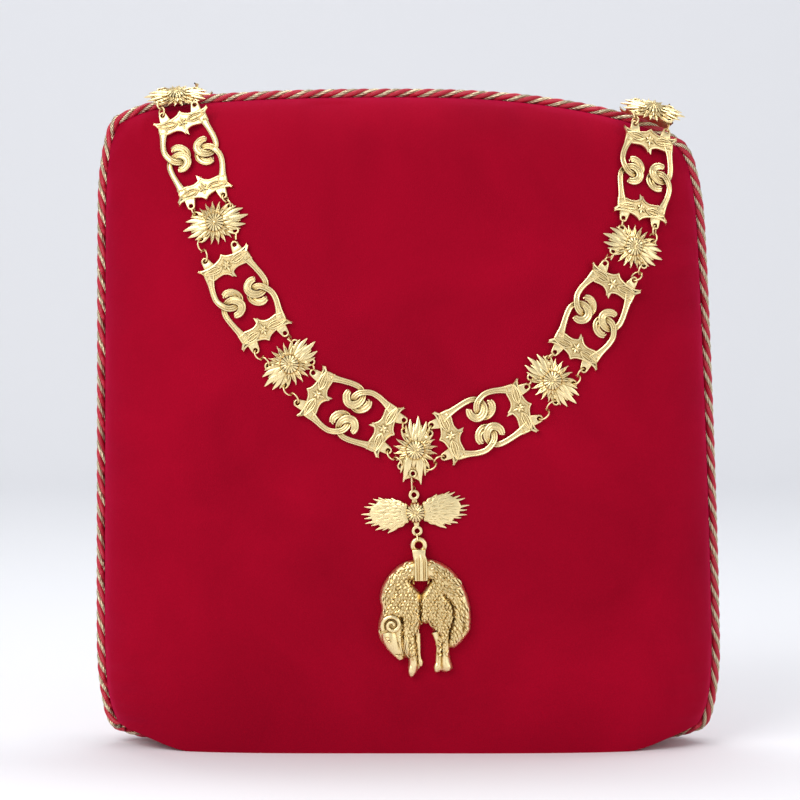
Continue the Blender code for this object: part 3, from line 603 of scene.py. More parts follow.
# %% List the links
# Columns: name, kind, centre, direction along the chain, direction out of the cushion
FRONT_LINKS = [
    ("3L", "flint", (-116.97, -7.08, 329.78), (-0.0209, 0.8660, 0.4996), (-0.0363, -0.5000, 0.8653)),
    ("3L", "steel", (-107.94, -25.92, 300.29), (-0.2977, 0.3570, 0.8854), (-0.1359, -0.9339, 0.3308)),
    ("2L", "flint", (-96.22, -36.53, 266.92), (-0.2233, 0.2054, 0.9529), (-0.1362, -0.9745, 0.1781)),
    ("2L", "steel", (-81.40, -42.26, 230.10), (-0.4953, 0.1137, 0.8613), (-0.0951, -0.9925, 0.0763)),
    ("1L", "flint", (-59.20, -45.05, 197.20), (-0.6557, 0.0350, 0.7542), (-0.0379, -0.9992, 0.0135)),
    ("1L", "steel", (-29.00, -45.78, 173.50), (-0.8862, 0.0110, 0.4633), (-0.0072, -0.9999, 0.0100)),
    ("0", "flint", (3.10, -45.91, 154.50), (-0.9951, -0.0003, 0.0993), (0.0005, -1.0000, 0.0017)),
    ("1R", "steel", (37.90, -45.67, 168.40), (0.9277, 0.0173, 0.3729), (0.0156, -0.9998, 0.0076)),
    ("1R", "flint", (71.00, -44.23, 189.00), (0.6933, 0.0624, 0.7179), (0.0730, -0.9972, 0.0162)),
    ("2R", "steel", (92.11, -41.12, 220.70), (0.4929, 0.1093, 0.8632), (0.1518, -0.9877, 0.0383)),
    ("2R", "flint", (111.40, -33.16, 255.04), (0.3559, 0.2375, 0.9038), (0.3049, -0.9438, 0.1279)),
    ("3R", "steel", (118.14, -21.92, 290.63), (0.1346, 0.3615, 0.9226), (0.3009, -0.9020, 0.3095)),
    ("3R", "flint", (123.06, -5.35, 322.67), (0.1082, 0.8660, 0.4881), (0.1874, -0.5000, 0.8455)),
]
BACK_LINKS = [
    ("3L_back", "steel", (-107.52, 20.90, 309.89), (-0.2610, -0.5605, 0.7859), (-0.1564, 0.8279, 0.5386)),
    ("2L_back", "flint", (-96.22, 34.05, 277.93), (-0.2222, -0.2194, 0.9500), (-0.1261, 0.9726, 0.1951)),
    ("2L_back", "steel", (-81.40, 41.38, 241.10), (-0.4946, -0.1243, 0.8602), (-0.0851, 0.9919, 0.0944)),
    ("1L_back", "flint", (-59.20, 44.92, 208.20), (-0.6553, -0.0491, 0.7538), (-0.0394, 0.9987, 0.0308)),
    ("1L_back", "steel", (-29.00, 45.62, 184.50), (-0.8861, -0.0121, 0.4633), (-0.0072, 0.9999, 0.0123)),
    ("0_back", "flint", (3.10, 45.88, 165.50), (-0.9951, -0.0001, 0.0993), (0.0006, 1.0000, 0.0070)),
    ("1R_back", "steel", (37.90, 45.54, 179.40), (0.9277, -0.0190, 0.3729), (0.0160, 0.9998, 0.0112)),
    ("1R_back", "flint", (71.00, 44.12, 200.00), (0.6931, -0.0672, 0.7177), (0.0748, 0.9970, 0.0211)),
    ("2R_back", "steel", (92.11, 40.34, 231.70), (0.4918, -0.1236, 0.8619), (0.1517, 0.9869, 0.0550)),
    ("2R_back", "flint", (111.40, 31.13, 266.06), (0.3511, -0.2799, 0.8935), (0.2995, 0.9377, 0.1760)),
    ("3R_back", "steel", (117.33, 17.81, 300.55), (0.1480, -0.4546, 0.8783), (0.3086, 0.8650, 0.3957)),
]


def link_frame(centre, along, out):
    v, w = Vector(along).normalized(), Vector(out)
    w = (w - w.dot(v) * v).normalized()
    matrix = Matrix((v.cross(w), v, w)).transposed().to_4x4()
    matrix.translation = Vector(centre) * MM
    return matrix


front_run = [(name, kind, link_frame(*place)) for name, kind, *place in FRONT_LINKS]
back_run = [(name, kind, link_frame(*place)) for name, kind, *place in BACK_LINKS]
back_run = [front_run[0], *back_run, front_run[-1]]
for name, kind, matrix in front_run + back_run[1:-1]:
    mesh = steel_mesh if kind == "steel" else hung_flint_mesh if name == "0" else flint_mesh
    place_casting(f"{kind}_{name}_cast", mesh, matrix, GILT, "gilt", f"{kind}_{name}")
print("links:", len(front_run) + len(back_run) - 2)

# %% [markdown]
# ## Jump rings
# The links are joined at their ears. On the inside of the curve one ring is enough, and on the
# outside two rings hang in each other, because the way is longer there. A ring must pass square
# through the plate at its ear, so the inner one is a long oval whose ends turn with the plates.

# %% Thread the rings
WIRE = 0.42 * MM
RING_WIDTH = 4.2 * MM
RING_LEAN = math.radians(24)
PAIR_LEAN = math.radians(36)
LUG_MIDDLE = 0.7 * MM
LUGS = {"steel": STEEL_LUG, "flint": FLINT_LUG}


def in_plane(direction, normal):
    return (direction - direction.dot(normal) * normal).normalized()


def spun_ring(first, last, first_facing, through, radius):
    """A ring of wire, in millimetres: two half turns about its ends, and the straights between them."""
    form = bmesh.new()
    side = through.cross(first_facing)
    disc = Matrix((side, through, first_facing)).transposed().to_4x4()
    disc.translation = (first + side * radius) / MM
    made = bmesh.ops.create_circle(form, segments=8, radius=WIRE / MM, matrix=disc)["verts"]
    loop = made + list({e for v in made for e in v.link_edges})
    axis = through
    for centre, travel in ((first, last - first), (last, first - last)):
        turned = bmesh.ops.spin(form, geom=loop, cent=centre / MM, axis=axis, angle=math.pi, steps=10)
        loop = turned["geom_last"]
        edges = [g for g in loop if isinstance(g, bmesh.types.BMEdge)]
        loop = bmesh.ops.extrude_edge_only(form, edges=edges)["geom"]
        verts = [g for g in loop if isinstance(g, bmesh.types.BMVert)]
        bmesh.ops.translate(form, verts=verts, vec=travel / MM)
        loop = [g for g in loop if not isinstance(g, bmesh.types.BMFace)]
    bmesh.ops.remove_doubles(form, verts=form.verts, dist=0.01)
    bmesh.ops.recalc_face_normals(form, faces=form.faces)
    return mesh_of(form, "ring")


def oval_ring(start, end, start_out, end_out, lean):
    """A ring that passes square through the plates at both holes."""
    chord = end - start
    line = chord.normalized()
    out = in_plane(start_out + end_out, line)
    through = line.cross(out * math.cos(lean) + line.cross(out) * math.sin(lean))
    radius = min(RING_WIDTH, 0.92 * chord.length) / 2
    first = start + in_plane(in_plane(chord, start_out), through) * radius
    last = end - in_plane(in_plane(chord, end_out), through) * radius
    return spun_ring(first, last, (first - last).normalized(), through, radius)


def round_pair(start, end, out, lean):
    """Two round rings that hang in each other, one leaning each way."""
    chord = end - start
    line = chord.normalized()
    out = in_plane(out, line)
    radius = (chord.length + 2 * WIRE) / 4
    rings = []
    for centre, way in ((start + line * radius, 1), (end - line * radius, -1)):
        through = line.cross(out * math.cos(lean * way) + line.cross(out) * math.sin(lean * way))
        rings.append(spun_ring(centre, centre, -line, through, radius))
    return rings


def lugs_towards(kind, matrix, other):
    """The two holes at the end of a link that points to another link."""
    end = math.copysign(1, (other.translation - matrix.translation).dot(matrix.col[1].to_3d()))
    across, along = LUGS[kind]
    return [matrix @ Vector((i * across * MM, end * along * MM, LUG_MIDDLE)) for i in (-1, 1)]


def facing_pairs(steel, flint):
    """The two pairs of holes that face each other, the shorter way first."""
    ends = lugs_towards("steel", steel, flint)
    near = lugs_towards("flint", flint, steel)
    straight = (ends[0] - near[0]).length + (ends[1] - near[1]).length
    crossed = (ends[0] - near[1]).length + (ends[1] - near[0]).length
    if crossed < straight:
        near.reverse()
    return sorted(zip(ends, near), key=lambda pair: (pair[0] - pair[1]).length)


def place_rings(name, rings, *nodes):
    mesh = gather(rings)
    place_casting(name, mesh, Matrix.Identity(4), GILT, "gilt", *nodes)


for run in (front_run, back_run):
    for k, (name, kind, steel) in enumerate(run):
        if kind != "steel":
            continue
        for side in (-1, 1):
            neighbour, _, flint = run[k + side]
            outs = steel.col[2].to_3d(), flint.col[2].to_3d()
            (inner_a, inner_b), (outer_a, outer_b) = facing_pairs(steel, flint)
            lean = 0 if neighbour in ("3L", "3R") else RING_LEAN if run is front_run else -RING_LEAN
            place_rings(
                f"ring_{name}_{neighbour}_inner_wire",
                [oval_ring(inner_a, inner_b, *outs, lean)],
                *([f"ring_{name}_{neighbour}_inner"] if run is front_run else []),
            )
            place_rings(
                f"ring_{name}_{neighbour}_outer_wires",
                round_pair(outer_a, outer_b, outs[0] + outs[1], PAIR_LEAN),
                *([f"ring_{name}_{neighbour}_outer"] if run is front_run else []),
            )
print("rings: at", 2 * 24, "ears")

# %% [markdown]
# ## Flint bar
# Below the middle link hangs a flint of its own: a fluted boss with an eye above and below, and a
# bundle of ragged flames to each side. The bundle is many thin tongues in three layers. They fan
# out a little, and the upper and lower ones curl away from the middle.

# %% Model the flint bar
BAR_EYES = (8.8, -9.3)
EYE_RADIUS = 2.7
# The tips of one bundle's outer flames, across and along, from its top round to its foot
BAR_TIPS = [
    (8.6, 5.6), (11.4, 8.0), (14.6, 8.0), (17.8, 8.8), (20.4, 8.4), (22.9, 6.4), (25.2, 4.9), (27.0, 1.2),
    (25.6, -1.0), (25.4, -3.5), (22.4, -4.8), (20.6, -7.2), (17.2, -7.6), (14.6, -9.2), (11.4, -8.0),
    (8.4, -5.4),
]


def bundle():
    """Three layers of flames from a narrow waist, the upper layers shorter and between the lower ones."""
    flames = []
    last = len(BAR_TIPS) - 1
    for k, tip in enumerate(BAR_TIPS):
        root = Vector((4.4, 3.2 * (1 - 2 * k / last)))
        flames.append(tongue(root, tip, 1.15, 1.5, 0.55 * (-1) ** k, 1.7))
        if k < last:
            between = (Vector(tip) + Vector(BAR_TIPS[k + 1])) / 2
            flames.append(tongue(root, root + (between - root) * 0.84, 0.8, 2.4, 0.75 * (-1) ** k, 2.1))
            flames.append(tongue(root, root + (between - root) * 0.6, 0.65, 3.1, -0.6 * (-1) ** k, 1.6))
    return flames


def bar_casting():
    parts = []
    bed = [Vector((4.4, 3.4))] + [Vector(tip) * 0.86 for tip in BAR_TIPS] + [Vector((4.4, -3.4))]
    for way in (-1, 1):
        flames = [[(way * p[0], p[1], p[2], p[3]) for p in flame] for flame in bundle()]
        parts.append(ridges(flames, flat=0.7))
        parts.append(plate([[Vector((way * p.x, p.y)) for p in bed]], 0.0, 1.5))
    parts.append(ridges([[(-6, 0, 1.5, 3.2), (6, 0, 1.5, 3.2)]], sides=10, flat=0.45))
    for eye in BAR_EYES:
        hole = ring_of_points((0, eye), 1.25, 16)
        parts.append(plate([ring_of_points((0, eye), EYE_RADIUS, 24), hole], 0.3, 2.1))
        reach = math.copysign(5, eye)
        parts.append(ridges([[(0, reach, 1.2, 1.5), (0, eye * 0.78, 1.2, 1.2)]], flat=0.7))
    parts.append(plate([ring_of_points((0, 0), 4.3, 28)], 0.5, 3.4, edge=1.2))
    parts.append(daisy(4.6, 2.4, 4.6, PETALS))
    return gather(parts)


bar_matrix = link_frame((3.20, -45.90, 123.30), (-0.0872, -0.0002, 0.9962), (0.0005, -1.0, -0.0002))
place_casting("bar_cast", bar_casting(), bar_matrix, GILT, "gilt", "flint_bar")
print("bar: two bundles of", len(bundle()), "flames")

# %% [markdown]
# ## Hanging ram
# The ram hangs by a strap round its middle, so its head and legs droop. Its body is a low relief:
# the outline is filled, planes cut it into small faces, and each point rises with its distance from
# the rim. All its numbers are millimetres from the middle of the eye that it hangs by.

# %% Model the ram's body
RAM_EYE = Vector((-2.09, 33.0))
RAM_OUTLINE = [
    (-2.95, -7.3), (-9.65, -9.75), (-15.0, -14.65), (-18.6, -20.45), (-19.85, -26.7), (-19.05, -32.1),
    (-20.6, -38.35), (-20.8, -44.6), (-19.05, -48.6), (-15.0, -53.05), (-10.55, -57.3), (-8.3, -56.2),
    (-6.2, -56.6), (-6.3, -64.2), (-4.95, -66.25), (-2.05, -63.8), (-1.2, -62.0), (0.6, -60.65),
    (-0.05, -57.55), (-0.75, -47.25), (-0.05, -41.0), (1.5, -39.45), (4.2, -39.65), (6.4, -42.8),
    (7.55, -47.25), (7.75, -56.2), (6.85, -63.35), (8.2, -64.2), (10.45, -63.35), (12.45, -64.0),
    (15.8, -62.0), (14.9, -57.55), (14.45, -52.15), (17.15, -51.7), (20.7, -48.6), (23.8, -44.6),
    (24.95, -41.9), (25.4, -36.1), (24.5, -28.5), (21.6, -20.45), (17.15, -13.8), (11.3, -9.3), (5.05, -7.3),
]
RAM_GAP = [(-4.7, -17.6), (5.8, -17.6), (0.7, -24.9)]
# Sunk lines on the body: each is a line, how deep it is and how wide
GROOVES = [
    ([(0.5, -25.5), (0.2, -31.0), (0.4, -39.0)], 1.7, 1.0),
    ([(-9.2, -36.0), (-8.8, -43.0), (-8.4, -50.0), (-7.6, -57.0)], 1.6, 0.9),
    ([(12.3, -25.0), (16.6, -30.3), (16.9, -36.1), (14.6, -45.0), (13.4, -51.0)], 1.6, 0.9),
    ([(22.2, -36.5), (21.6, -44.0)], 1.2, 0.8),
    ([(-2.6, -45.0), (-2.0, -52.0), (-1.6, -58.0), (-1.2, -62.0)], 1.4, 0.7),
    ([(6.6, -42.8), (10.6, -45.6)], 1.0, 0.8),
    ([(10.9, -49.0), (10.6, -55.0), (10.8, -62.0)], 1.3, 0.7),
]
BODY_ROUND = 4.2
BODY_LOW = 1.3
BODY_RISE = 3.4


def way_to(point, line):
    """The distance from a point to a chain of straight lines."""
    best = 1e9
    for a, b in zip(line, line[1:]):
        a, b = Vector(a), Vector(b)
        share = min(max((point - a).dot(b - a) / (b - a).length_squared, 0), 1)
        best = min(best, (point - a - (b - a) * share).length)
    return best


ram_rim = smooth_path(RAM_OUTLINE, 3, closed=True)
rim_line = ram_rim + ram_rim[:1]
gap_line = RAM_GAP + RAM_GAP[:1]


def body_height(point):
    """How high the ram's body stands at a point: round at its rim, and sunk along its grooves."""
    near = min(way_to(point, rim_line), way_to(point, gap_line))
    share = min(near / BODY_ROUND, 1)
    height = BODY_LOW + BODY_RISE * math.sqrt(1 - (1 - share) ** 2)
    for groove, depth, width in GROOVES:
        height -= depth * math.exp(-((way_to(point, groove) / width) ** 2))
    return max(height, BODY_LOW)


def ram_body():
    form = bmesh.new()
    edges = []
    for outline in (ram_rim, RAM_GAP):
        verts = [form.verts.new((p[0], p[1], 0)) for p in outline]
        edges += [form.edges.new((verts[k - 1], verts[k])) for k in range(len(verts))]
    bmesh.ops.triangle_fill(form, use_beauty=True, edges=edges)
    for axis, low, high in ((0, -21, 26), (1, -67, -7)):
        for k in range(int(low), int(high)):
            cut = Vector((k + 0.5, 0, 0)) if axis == 0 else Vector((0, k + 0.5, 0))
            normal = Vector((1, 0, 0)) if axis == 0 else Vector((0, 1, 0))
            everything = form.verts[:] + form.edges[:] + form.faces[:]
            bmesh.ops.bisect_plane(form, geom=everything, plane_co=cut, plane_no=normal)
    grown = bmesh.ops.extrude_face_region(form, geom=form.faces[:], use_keep_orig=True)["geom"]
    for vert in (g for g in grown if isinstance(g, bmesh.types.BMVert)):
        vert.co.z = body_height(vert.co.xy)
    bmesh.ops.recalc_face_normals(form, faces=form.faces)
    return mesh_of(form, "ram body")


ram_parts = [ram_body()]
print("ram's body:", len(ram_parts[0].polygons), "faces")

# %% [markdown]
# ## Wool, horn and strap
# The fleece is cast as short curled locks. Each is one small ridge that starts on the body and bends
# to one side. They are set out on staggered rows, and their heading follows the wool: away from the
# middle of the back and down. The face, the legs, the horn and the strap's ridges are swept too.

# %% Cover the ram with its wool
LOCK_SPACING = 2.1
BACK_MIDDLE = Vector((1.5, -14.0))
HORN_MIDDLE = Vector((-14.0, -39.4))


def on_body(path, sunk=0.25):
    """The path laid on the ram's body, with its own heights added."""
    laid = []
    for u, v, rise, radius in path:
        laid.append((u, v, body_height(Vector((u, v))) + rise - sunk * radius, radius))
    return laid


def lock(root, heading, length, curl, radius=0.55):
    """A curled lock of wool that grows from its root."""
    side = Vector((-heading.y, heading.x))
    path = []
    for t, swell in ((0, 0.6), (0.25, 1.0), (0.5, 0.95), (0.75, 0.7), (1.0, 0.3)):
        bend = curl * t * t
        spot = root + heading * length * math.sin(t * 1.35) / 0.975 + side * length * bend * 0.55
        path.append((spot.x, spot.y, 0.1 + 0.4 * math.sin(math.pi * t), radius * swell))
    return on_body(path)


def wool_heading(spot):
    away = (spot - BACK_MIDDLE).normalized()
    swirl = 0.5 * noise.noise(Vector((spot.x * 0.13, spot.y * 0.13, 3.1)))
    heading = (away * 0.9 + Vector((0, -0.75))).normalized()
    return Vector((
        heading.x * math.cos(swirl) - heading.y * math.sin(swirl),
        heading.x * math.sin(swirl) + heading.y * math.cos(swirl),
    ))


def bare(spot):
    """Where no wool grows: the strap, the face, the horn and the shins."""
    strap = abs(spot.x - 1.0) < 3.2 and spot.y > -18.5
    face = spot.x < -8.6 and spot.y < -43.5
    horn = (spot - HORN_MIDDLE).length < 6.2
    shin = spot.y < -55.0
    return strap or face or horn or shin


def wool():
    locks = []
    rows = int(60 / (LOCK_SPACING * 0.8))
    for row in range(rows):
        for column in range(24):
            shift = 0.5 * (row % 2)
            spot = Vector((-22 + (column + shift) * LOCK_SPACING, -8.2 - row * LOCK_SPACING * 0.8))
            layers = [Vector((spot.x * 1.7, spot.y * 1.7, layer)) for layer in (0.5, 9.4, 17.3)]
            jitter = Vector([noise.noise(layer) for layer in layers])
            spot += jitter.xy * 0.7
            inside = form_inside(spot, ram_rim) and not form_inside(spot, RAM_GAP)
            if not inside or bare(spot) or way_to(spot, gap_line) < 0.8:
                continue
            curl = 1.1 if noise.noise(Vector((spot.x * 0.4, spot.y * 0.4, 7.7))) > 0 else -1.1
            length = 2.3 + jitter.z if spot.x < 16.5 else 3.6
            grown = lock(spot, wool_heading(spot), length, curl if spot.x < 16.5 else 0.4 * curl)
            if all(form_inside(Vector(p[:2]), ram_rim) for p in grown):
                locks.append(grown)
    return locks


def form_inside(point, outline):
    """Whether a point lies inside a closed outline."""
    inside = False
    for a, b in zip(outline, list(outline[1:]) + [outline[0]]):
        if (a[1] > point.y) != (b[1] > point.y):
            inside ^= point.x < (b[0] - a[0]) * (point.y - a[1]) / (b[1] - a[1]) + a[0]
    return inside


def horn(middle, turns, outer, radius):
    """A ribbed horn that winds inwards and rises as it does."""
    path = []
    steps = int(turns * 16)
    for k in range(steps + 1):
        t = k / steps
        a = math.radians(-150) - 2 * math.pi * turns * t
        reach = outer * (1 - 0.84 * t)
        rib = 1 + 0.10 * (k % 2)
        spot = (middle[0] + reach * math.cos(a), middle[1] + reach * math.sin(a))
        path.append((*spot, 4.2 + 2.2 * t, radius * (1 - 0.5 * t) * rib))
    return path


all_locks = wool()
strands = []
for k, u in enumerate((-8.6, -7.4, -6.4)):
    strands.append(on_body([
        (u - 0.4, -45.0, 0.2, 0.4), (u, -48.0, 0.4, 0.6), (u - 0.3, -51.0, 0.4, 0.6),
        (u + 0.2, -54.0, 0.3, 0.5), (u, -56.4, 0.1, 0.3),
    ]))
face = [
    (-15.4, -43.6, 2.6, 4.3), (-15.0, -46.2, 3.0, 4.4), (-13.8, -49.6, 3.0, 3.8), (-12.0, -53.0, 2.8, 2.8),
    (-10.4, -55.7, 2.5, 1.9), (-9.8, -57.0, 2.4, 1.2),
]
legs = [
    [(-4.7, -46.0, 2.6, 2.2), (-4.6, -51.0, 2.6, 1.9), (-4.1, -55.5, 2.5, 1.5), (-4.2, -60.0, 2.4, 1.35)],
    [(-1.3, -44.0, 2.6, 1.4), (-1.0, -50.0, 2.5, 1.1), (-0.9, -54.5, 2.4, 0.95), (-0.5, -57.5, 2.4, 0.95)],
    [(7.6, -43.5, 2.4, 2.2), (9.3, -49.5, 2.5, 1.7), (8.9, -55.0, 2.4, 1.35), (8.6, -59.5, 2.4, 1.3)],
    [(12.4, -44.0, 2.8, 2.4), (12.6, -50.0, 2.7, 1.9), (12.3, -55.5, 2.5, 1.65), (12.7, -59.5, 2.5, 1.6)],
]
hooves = [
    [(-4.2, -59.6, 2.4, 1.4), (-4.3, -61.4, 2.6, 1.9), (-4.5, -63.6, 2.5, 1.9), (-4.7, -65.4, 2.2, 1.0)],
    [(-0.6, -57.0, 2.4, 0.95), (-0.2, -58.6, 2.5, 1.3), (-0.1, -60.4, 2.3, 0.9)],
    [(8.6, -59.2, 2.4, 1.3), (8.2, -61.2, 2.6, 1.7), (7.8, -63.2, 2.3, 1.1)],
    [(12.6, -59.2, 2.5, 1.6), (13.2, -61.0, 2.6, 2.1), (13.2, -62.8, 2.3, 1.5)],
]
muzzle_lines = [
    [(-17.8, -45.4, 5.6, 0.25), (-16.3, -46.2, 6.6, 0.55), (-14.6, -45.9, 6.6, 0.3)],
    [(-16.4, -47.3, 6.4, 0.2), (-15.4, -47.6, 6.7, 0.5), (-14.4, -47.3, 6.5, 0.2)],
    [(-12.6, -54.6, 4.6, 0.2), (-11.2, -55.0, 4.9, 0.4), (-9.6, -54.4, 4.3, 0.2)],
    [(-10.6, -48.0, 5.0, 0.3), (-9.8, -51.5, 4.6, 0.45), (-9.0, -55.0, 3.9, 0.25)],
]
ram_parts += [
    ridges(all_locks, sides=5),
    ridges([smooth_path(path, 3) for path in strands], sides=6),
    ridges([smooth_path(path, 3) for path in [face] + legs + hooves], sides=10, flat=0.8),
    ridges([horn(HORN_MIDDLE, 1.6, 5.0, 1.4)], sides=8),
    ridges([smooth_path(path, 3) for path in muzzle_lines], sides=6),
]
print("wool:", len(all_locks), "locks")

# %% Hang it by its strap and eye
eye_outline = ring_of_points((0, 0), 4.2, 32)
strap_edge = [
    (-3.3, -1.9), (3.3, -1.9), (3.1, -4.9), (3.9, -8.0), (3.8, -17.5),
    (-2.2, -17.5), (-2.3, -8.0), (-3.0, -4.9),
]
strap_ridges = []
for across, radius in ((-1.7, 0.6), (1.1, 1.05), (3.6, 0.5)):
    strap_ridges.append([
        (across * 0.7, -3.4, 3.4, radius * 0.5), (across * 0.8, -5.0, 4.3, radius * 0.9),
        (across, -8.4, 4.9, radius), (across, -17.2, 5.1, radius),
    ])
ram_parts += [
    plate([eye_outline, ring_of_points((0, 0), 1.9, 20)], 0.4, 2.6, edge=0.8),
    plate([[Vector(p) for p in strap_edge[::-1]]], 0.4, 4.9),
    ridges([smooth_path(path, 3) for path in strap_ridges], sides=8),
]
ram_mesh = gather(ram_parts)
ram_mesh.transform(Matrix.Translation((*RAM_EYE, 0)))
ram_matrix = link_frame((7.50, -45.89, 74.00), (-0.0174, -0.0219, 0.9996), (0.0007, -0.9998, -0.0219))
place_casting("ram_cast", ram_mesh, ram_matrix, GILT, "gilt", "fleece")
print("ram:", len(ram_mesh.polygons), "faces")

# %% [markdown]
# ## Pendant rings
# One ring joins the middle link to the bar, and one the bar to the ram. They stand nearly edge on.

# %% Hang the pendant
hung = next(matrix for name, kind, matrix in front_run if name == "0")
wing_hole = hung @ Vector((-11.9 * MM, 0, 0.75 * MM))
bar_top = bar_matrix @ Vector((0, BAR_EYES[0] * MM, 1.2 * MM))
bar_low = bar_matrix @ Vector((0, BAR_EYES[1] * MM, 1.2 * MM))
ram_top = ram_matrix @ Vector((*(RAM_EYE * MM), 1.5 * MM))
outs = [matrix.col[2].to_3d() for matrix in (hung, bar_matrix, ram_matrix)]
upper_ring = oval_ring(wing_hole, bar_top, outs[0], outs[1], RING_LEAN)
lower_ring = oval_ring(bar_low, ram_top, outs[1], outs[2], math.radians(8))
place_rings("pendant_ring_wire", [upper_ring], "pendant_ring")
place_rings("fleece_ring_wire", [lower_ring], "fleece_ring")
print("pendant hole at", [round(c / MM, 2) for c in wing_hole])

# %% [markdown]
# ## Velvet cushion
# The cushion is a stuffed bag of two velvet squares with a knife-edge seam. It is upright, so its
# foot is broad and its shoulders slope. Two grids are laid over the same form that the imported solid
# has, one a little in front of it, and the seam pulls short folds into them near the edge.

# %% Model the velvet
CUSHION_HALF_WIDTH, CUSHION_HEIGHT = 155.0, 329.0
CUSHION_HALF_DEPTH, BASE_HALF_DEPTH = 44.0, 33.0
CORNER_ROUND, CORNER_SHARPNESS = 6.5, 12
SIDE_FULLNESS, TOP_FULLNESS, FOOT_ROUND = 4, 3, 0.08
LEFT_DROP, RIGHT_DROP = 7.0, 20.0
LEFT_TAPER, RIGHT_TAPER = 0.015, 0.075
FOOT_FLAT = 0.5
PIPING_RADIUS, PIPING_GAP = 2.5, 0.3
COLUMNS, ROWS = 16, 10
TUCK = math.cos(math.pi * 4 / COLUMNS)
VELVET_PROUD = 1.35
SEAM_TUCK = 0.85
HEM_HEIGHT = 14
FOLD_DEPTH = 3.8
GRID = 150


def seam_side(rise, left):
    if left:
        return -CUSHION_HALF_WIDTH * (1 - LEFT_TAPER * rise)
    return CUSHION_HALF_WIDTH * (1 - RIGHT_TAPER * rise**1.4)


def corner(share):
    return CORNER_ROUND * abs(share) ** CORNER_SHARPNESS


def foot_lift(share):
    ease = min(max((abs(share) - FOOT_FLAT) / (TUCK - FOOT_FLAT), 0), 1)
    return 2 * (PIPING_RADIUS + PIPING_GAP) * ease * ease * (3 - 2 * ease)


def seam_point(across, rise, foot=None):
    """A place on the flat sheet between the seams, across from -1 to 1 and up from 0 to 1."""
    foot = foot_lift(across) if foot is None else foot
    up = 2 * rise - 1
    left = seam_side(rise, True) + corner(up)
    right = seam_side(rise, False) - corner(up)
    drop = LEFT_DROP if across < 0 else RIGHT_DROP
    low = foot + corner(across)
    high = CUSHION_HEIGHT - drop * abs(across) ** 2.4 - corner(across)
    return Vector((left + (right - left) * (across + 1) / 2, 0, low + (high - low) * rise))


def cushion_depth(across, rise):
    side = math.sqrt(max(1 - abs(across) ** SIDE_FULLNESS, 0))
    top = math.sqrt(max(1 - max(2 * rise - 1, 0) ** TOP_FULLNESS, 0))
    low = min(rise / (2 * FOOT_ROUND), 1)
    belly = CUSHION_HALF_DEPTH - BASE_HALF_DEPTH
    return side * top * (BASE_HALF_DEPTH + belly * math.sin(low * math.pi / 2))


def pull_folds(place, across, rise, facing):
    """Short folds that run in from the seam, and a slow waviness of the filling."""
    edge = min(1 - abs(across), (1 - rise) * 1.9)
    near = math.exp(-edge / 0.10) * min(edge / 0.02, 1)
    along = place.z if 1 - abs(across) < (1 - rise) * 1.9 else place.x
    fold = noise.noise(Vector((along * 0.075, facing * 5.0, 1.5)))
    fold += 0.5 * noise.noise(Vector((along * 0.19, 2.0, facing)))
    slow = noise.noise(Vector((place.x * 0.012, place.z * 0.012, facing * 3.0)))
    return FOLD_DEPTH * near * fold + 0.35 * slow


def hem_lift(across):
    """How high the velvet hangs above the floor in front of the seam: only the corners lift."""
    ease = min(max((abs(across) - 0.74) / 0.2, 0), 1)
    return foot_lift(across) * ease * ease * (3 - 2 * ease)


def velvet_side(facing):
    """One sheet of velvet, and a hem that turns under it to the seam in the foot."""
    form = bmesh.new()
    bmesh.ops.create_grid(form, x_segments=GRID, y_segments=GRID, size=1)
    for vert in form.verts:
        across = math.sin(vert.co.x * math.pi / 2)
        rise = (1 + math.sin(vert.co.y * math.pi / 2)) / 2
        place = seam_point(across, rise, hem_lift(across))
        depth = cushion_depth(across, rise)
        if depth > 0.01:
            folds = pull_folds(place, across, rise, facing) * min(depth / 10, 1)
            depth += VELVET_PROUD * min(depth / 8, 1) + folds
        # The sheet's edge tucks under the cord
        place += Vector((across**3, 0, max(2 * rise - 1, 0) ** 3)) * SEAM_TUCK
        vert.co = (place.x, facing * depth, max(place.z, 0))
    rim = [e for e in form.edges if e.is_boundary]
    foot = [e for e in rim if all(v.co.z < HEM_HEIGHT and abs(v.co.y) > 0.5 for v in e.verts)]
    grown = bmesh.ops.extrude_edge_only(form, edges=foot)["geom"]
    for vert in (g for g in grown if isinstance(g, bmesh.types.BMVert)):
        share = min(abs(vert.co.x / CUSHION_HALF_WIDTH), 1)
        vert.co.y = 0
        vert.co.z = max(vert.co.z, foot_lift(share) + 0.05)
    return mesh_of(form, "velvet side")


def velvet_bag():
    form = bmesh.new()
    for facing in (-1, 1):
        form.from_mesh(velvet_side(facing))
    bmesh.ops.remove_doubles(form, verts=form.verts, dist=0.02)
    bmesh.ops.holes_fill(form, edges=[e for e in form.edges if e.is_boundary])
    bmesh.ops.recalc_face_normals(form, faces=form.faces)
    mesh = mesh_of(form, "velvet bag")
    mesh.transform(Matrix.Scale(MM, 4))
    mesh.shade_smooth()
    return mesh


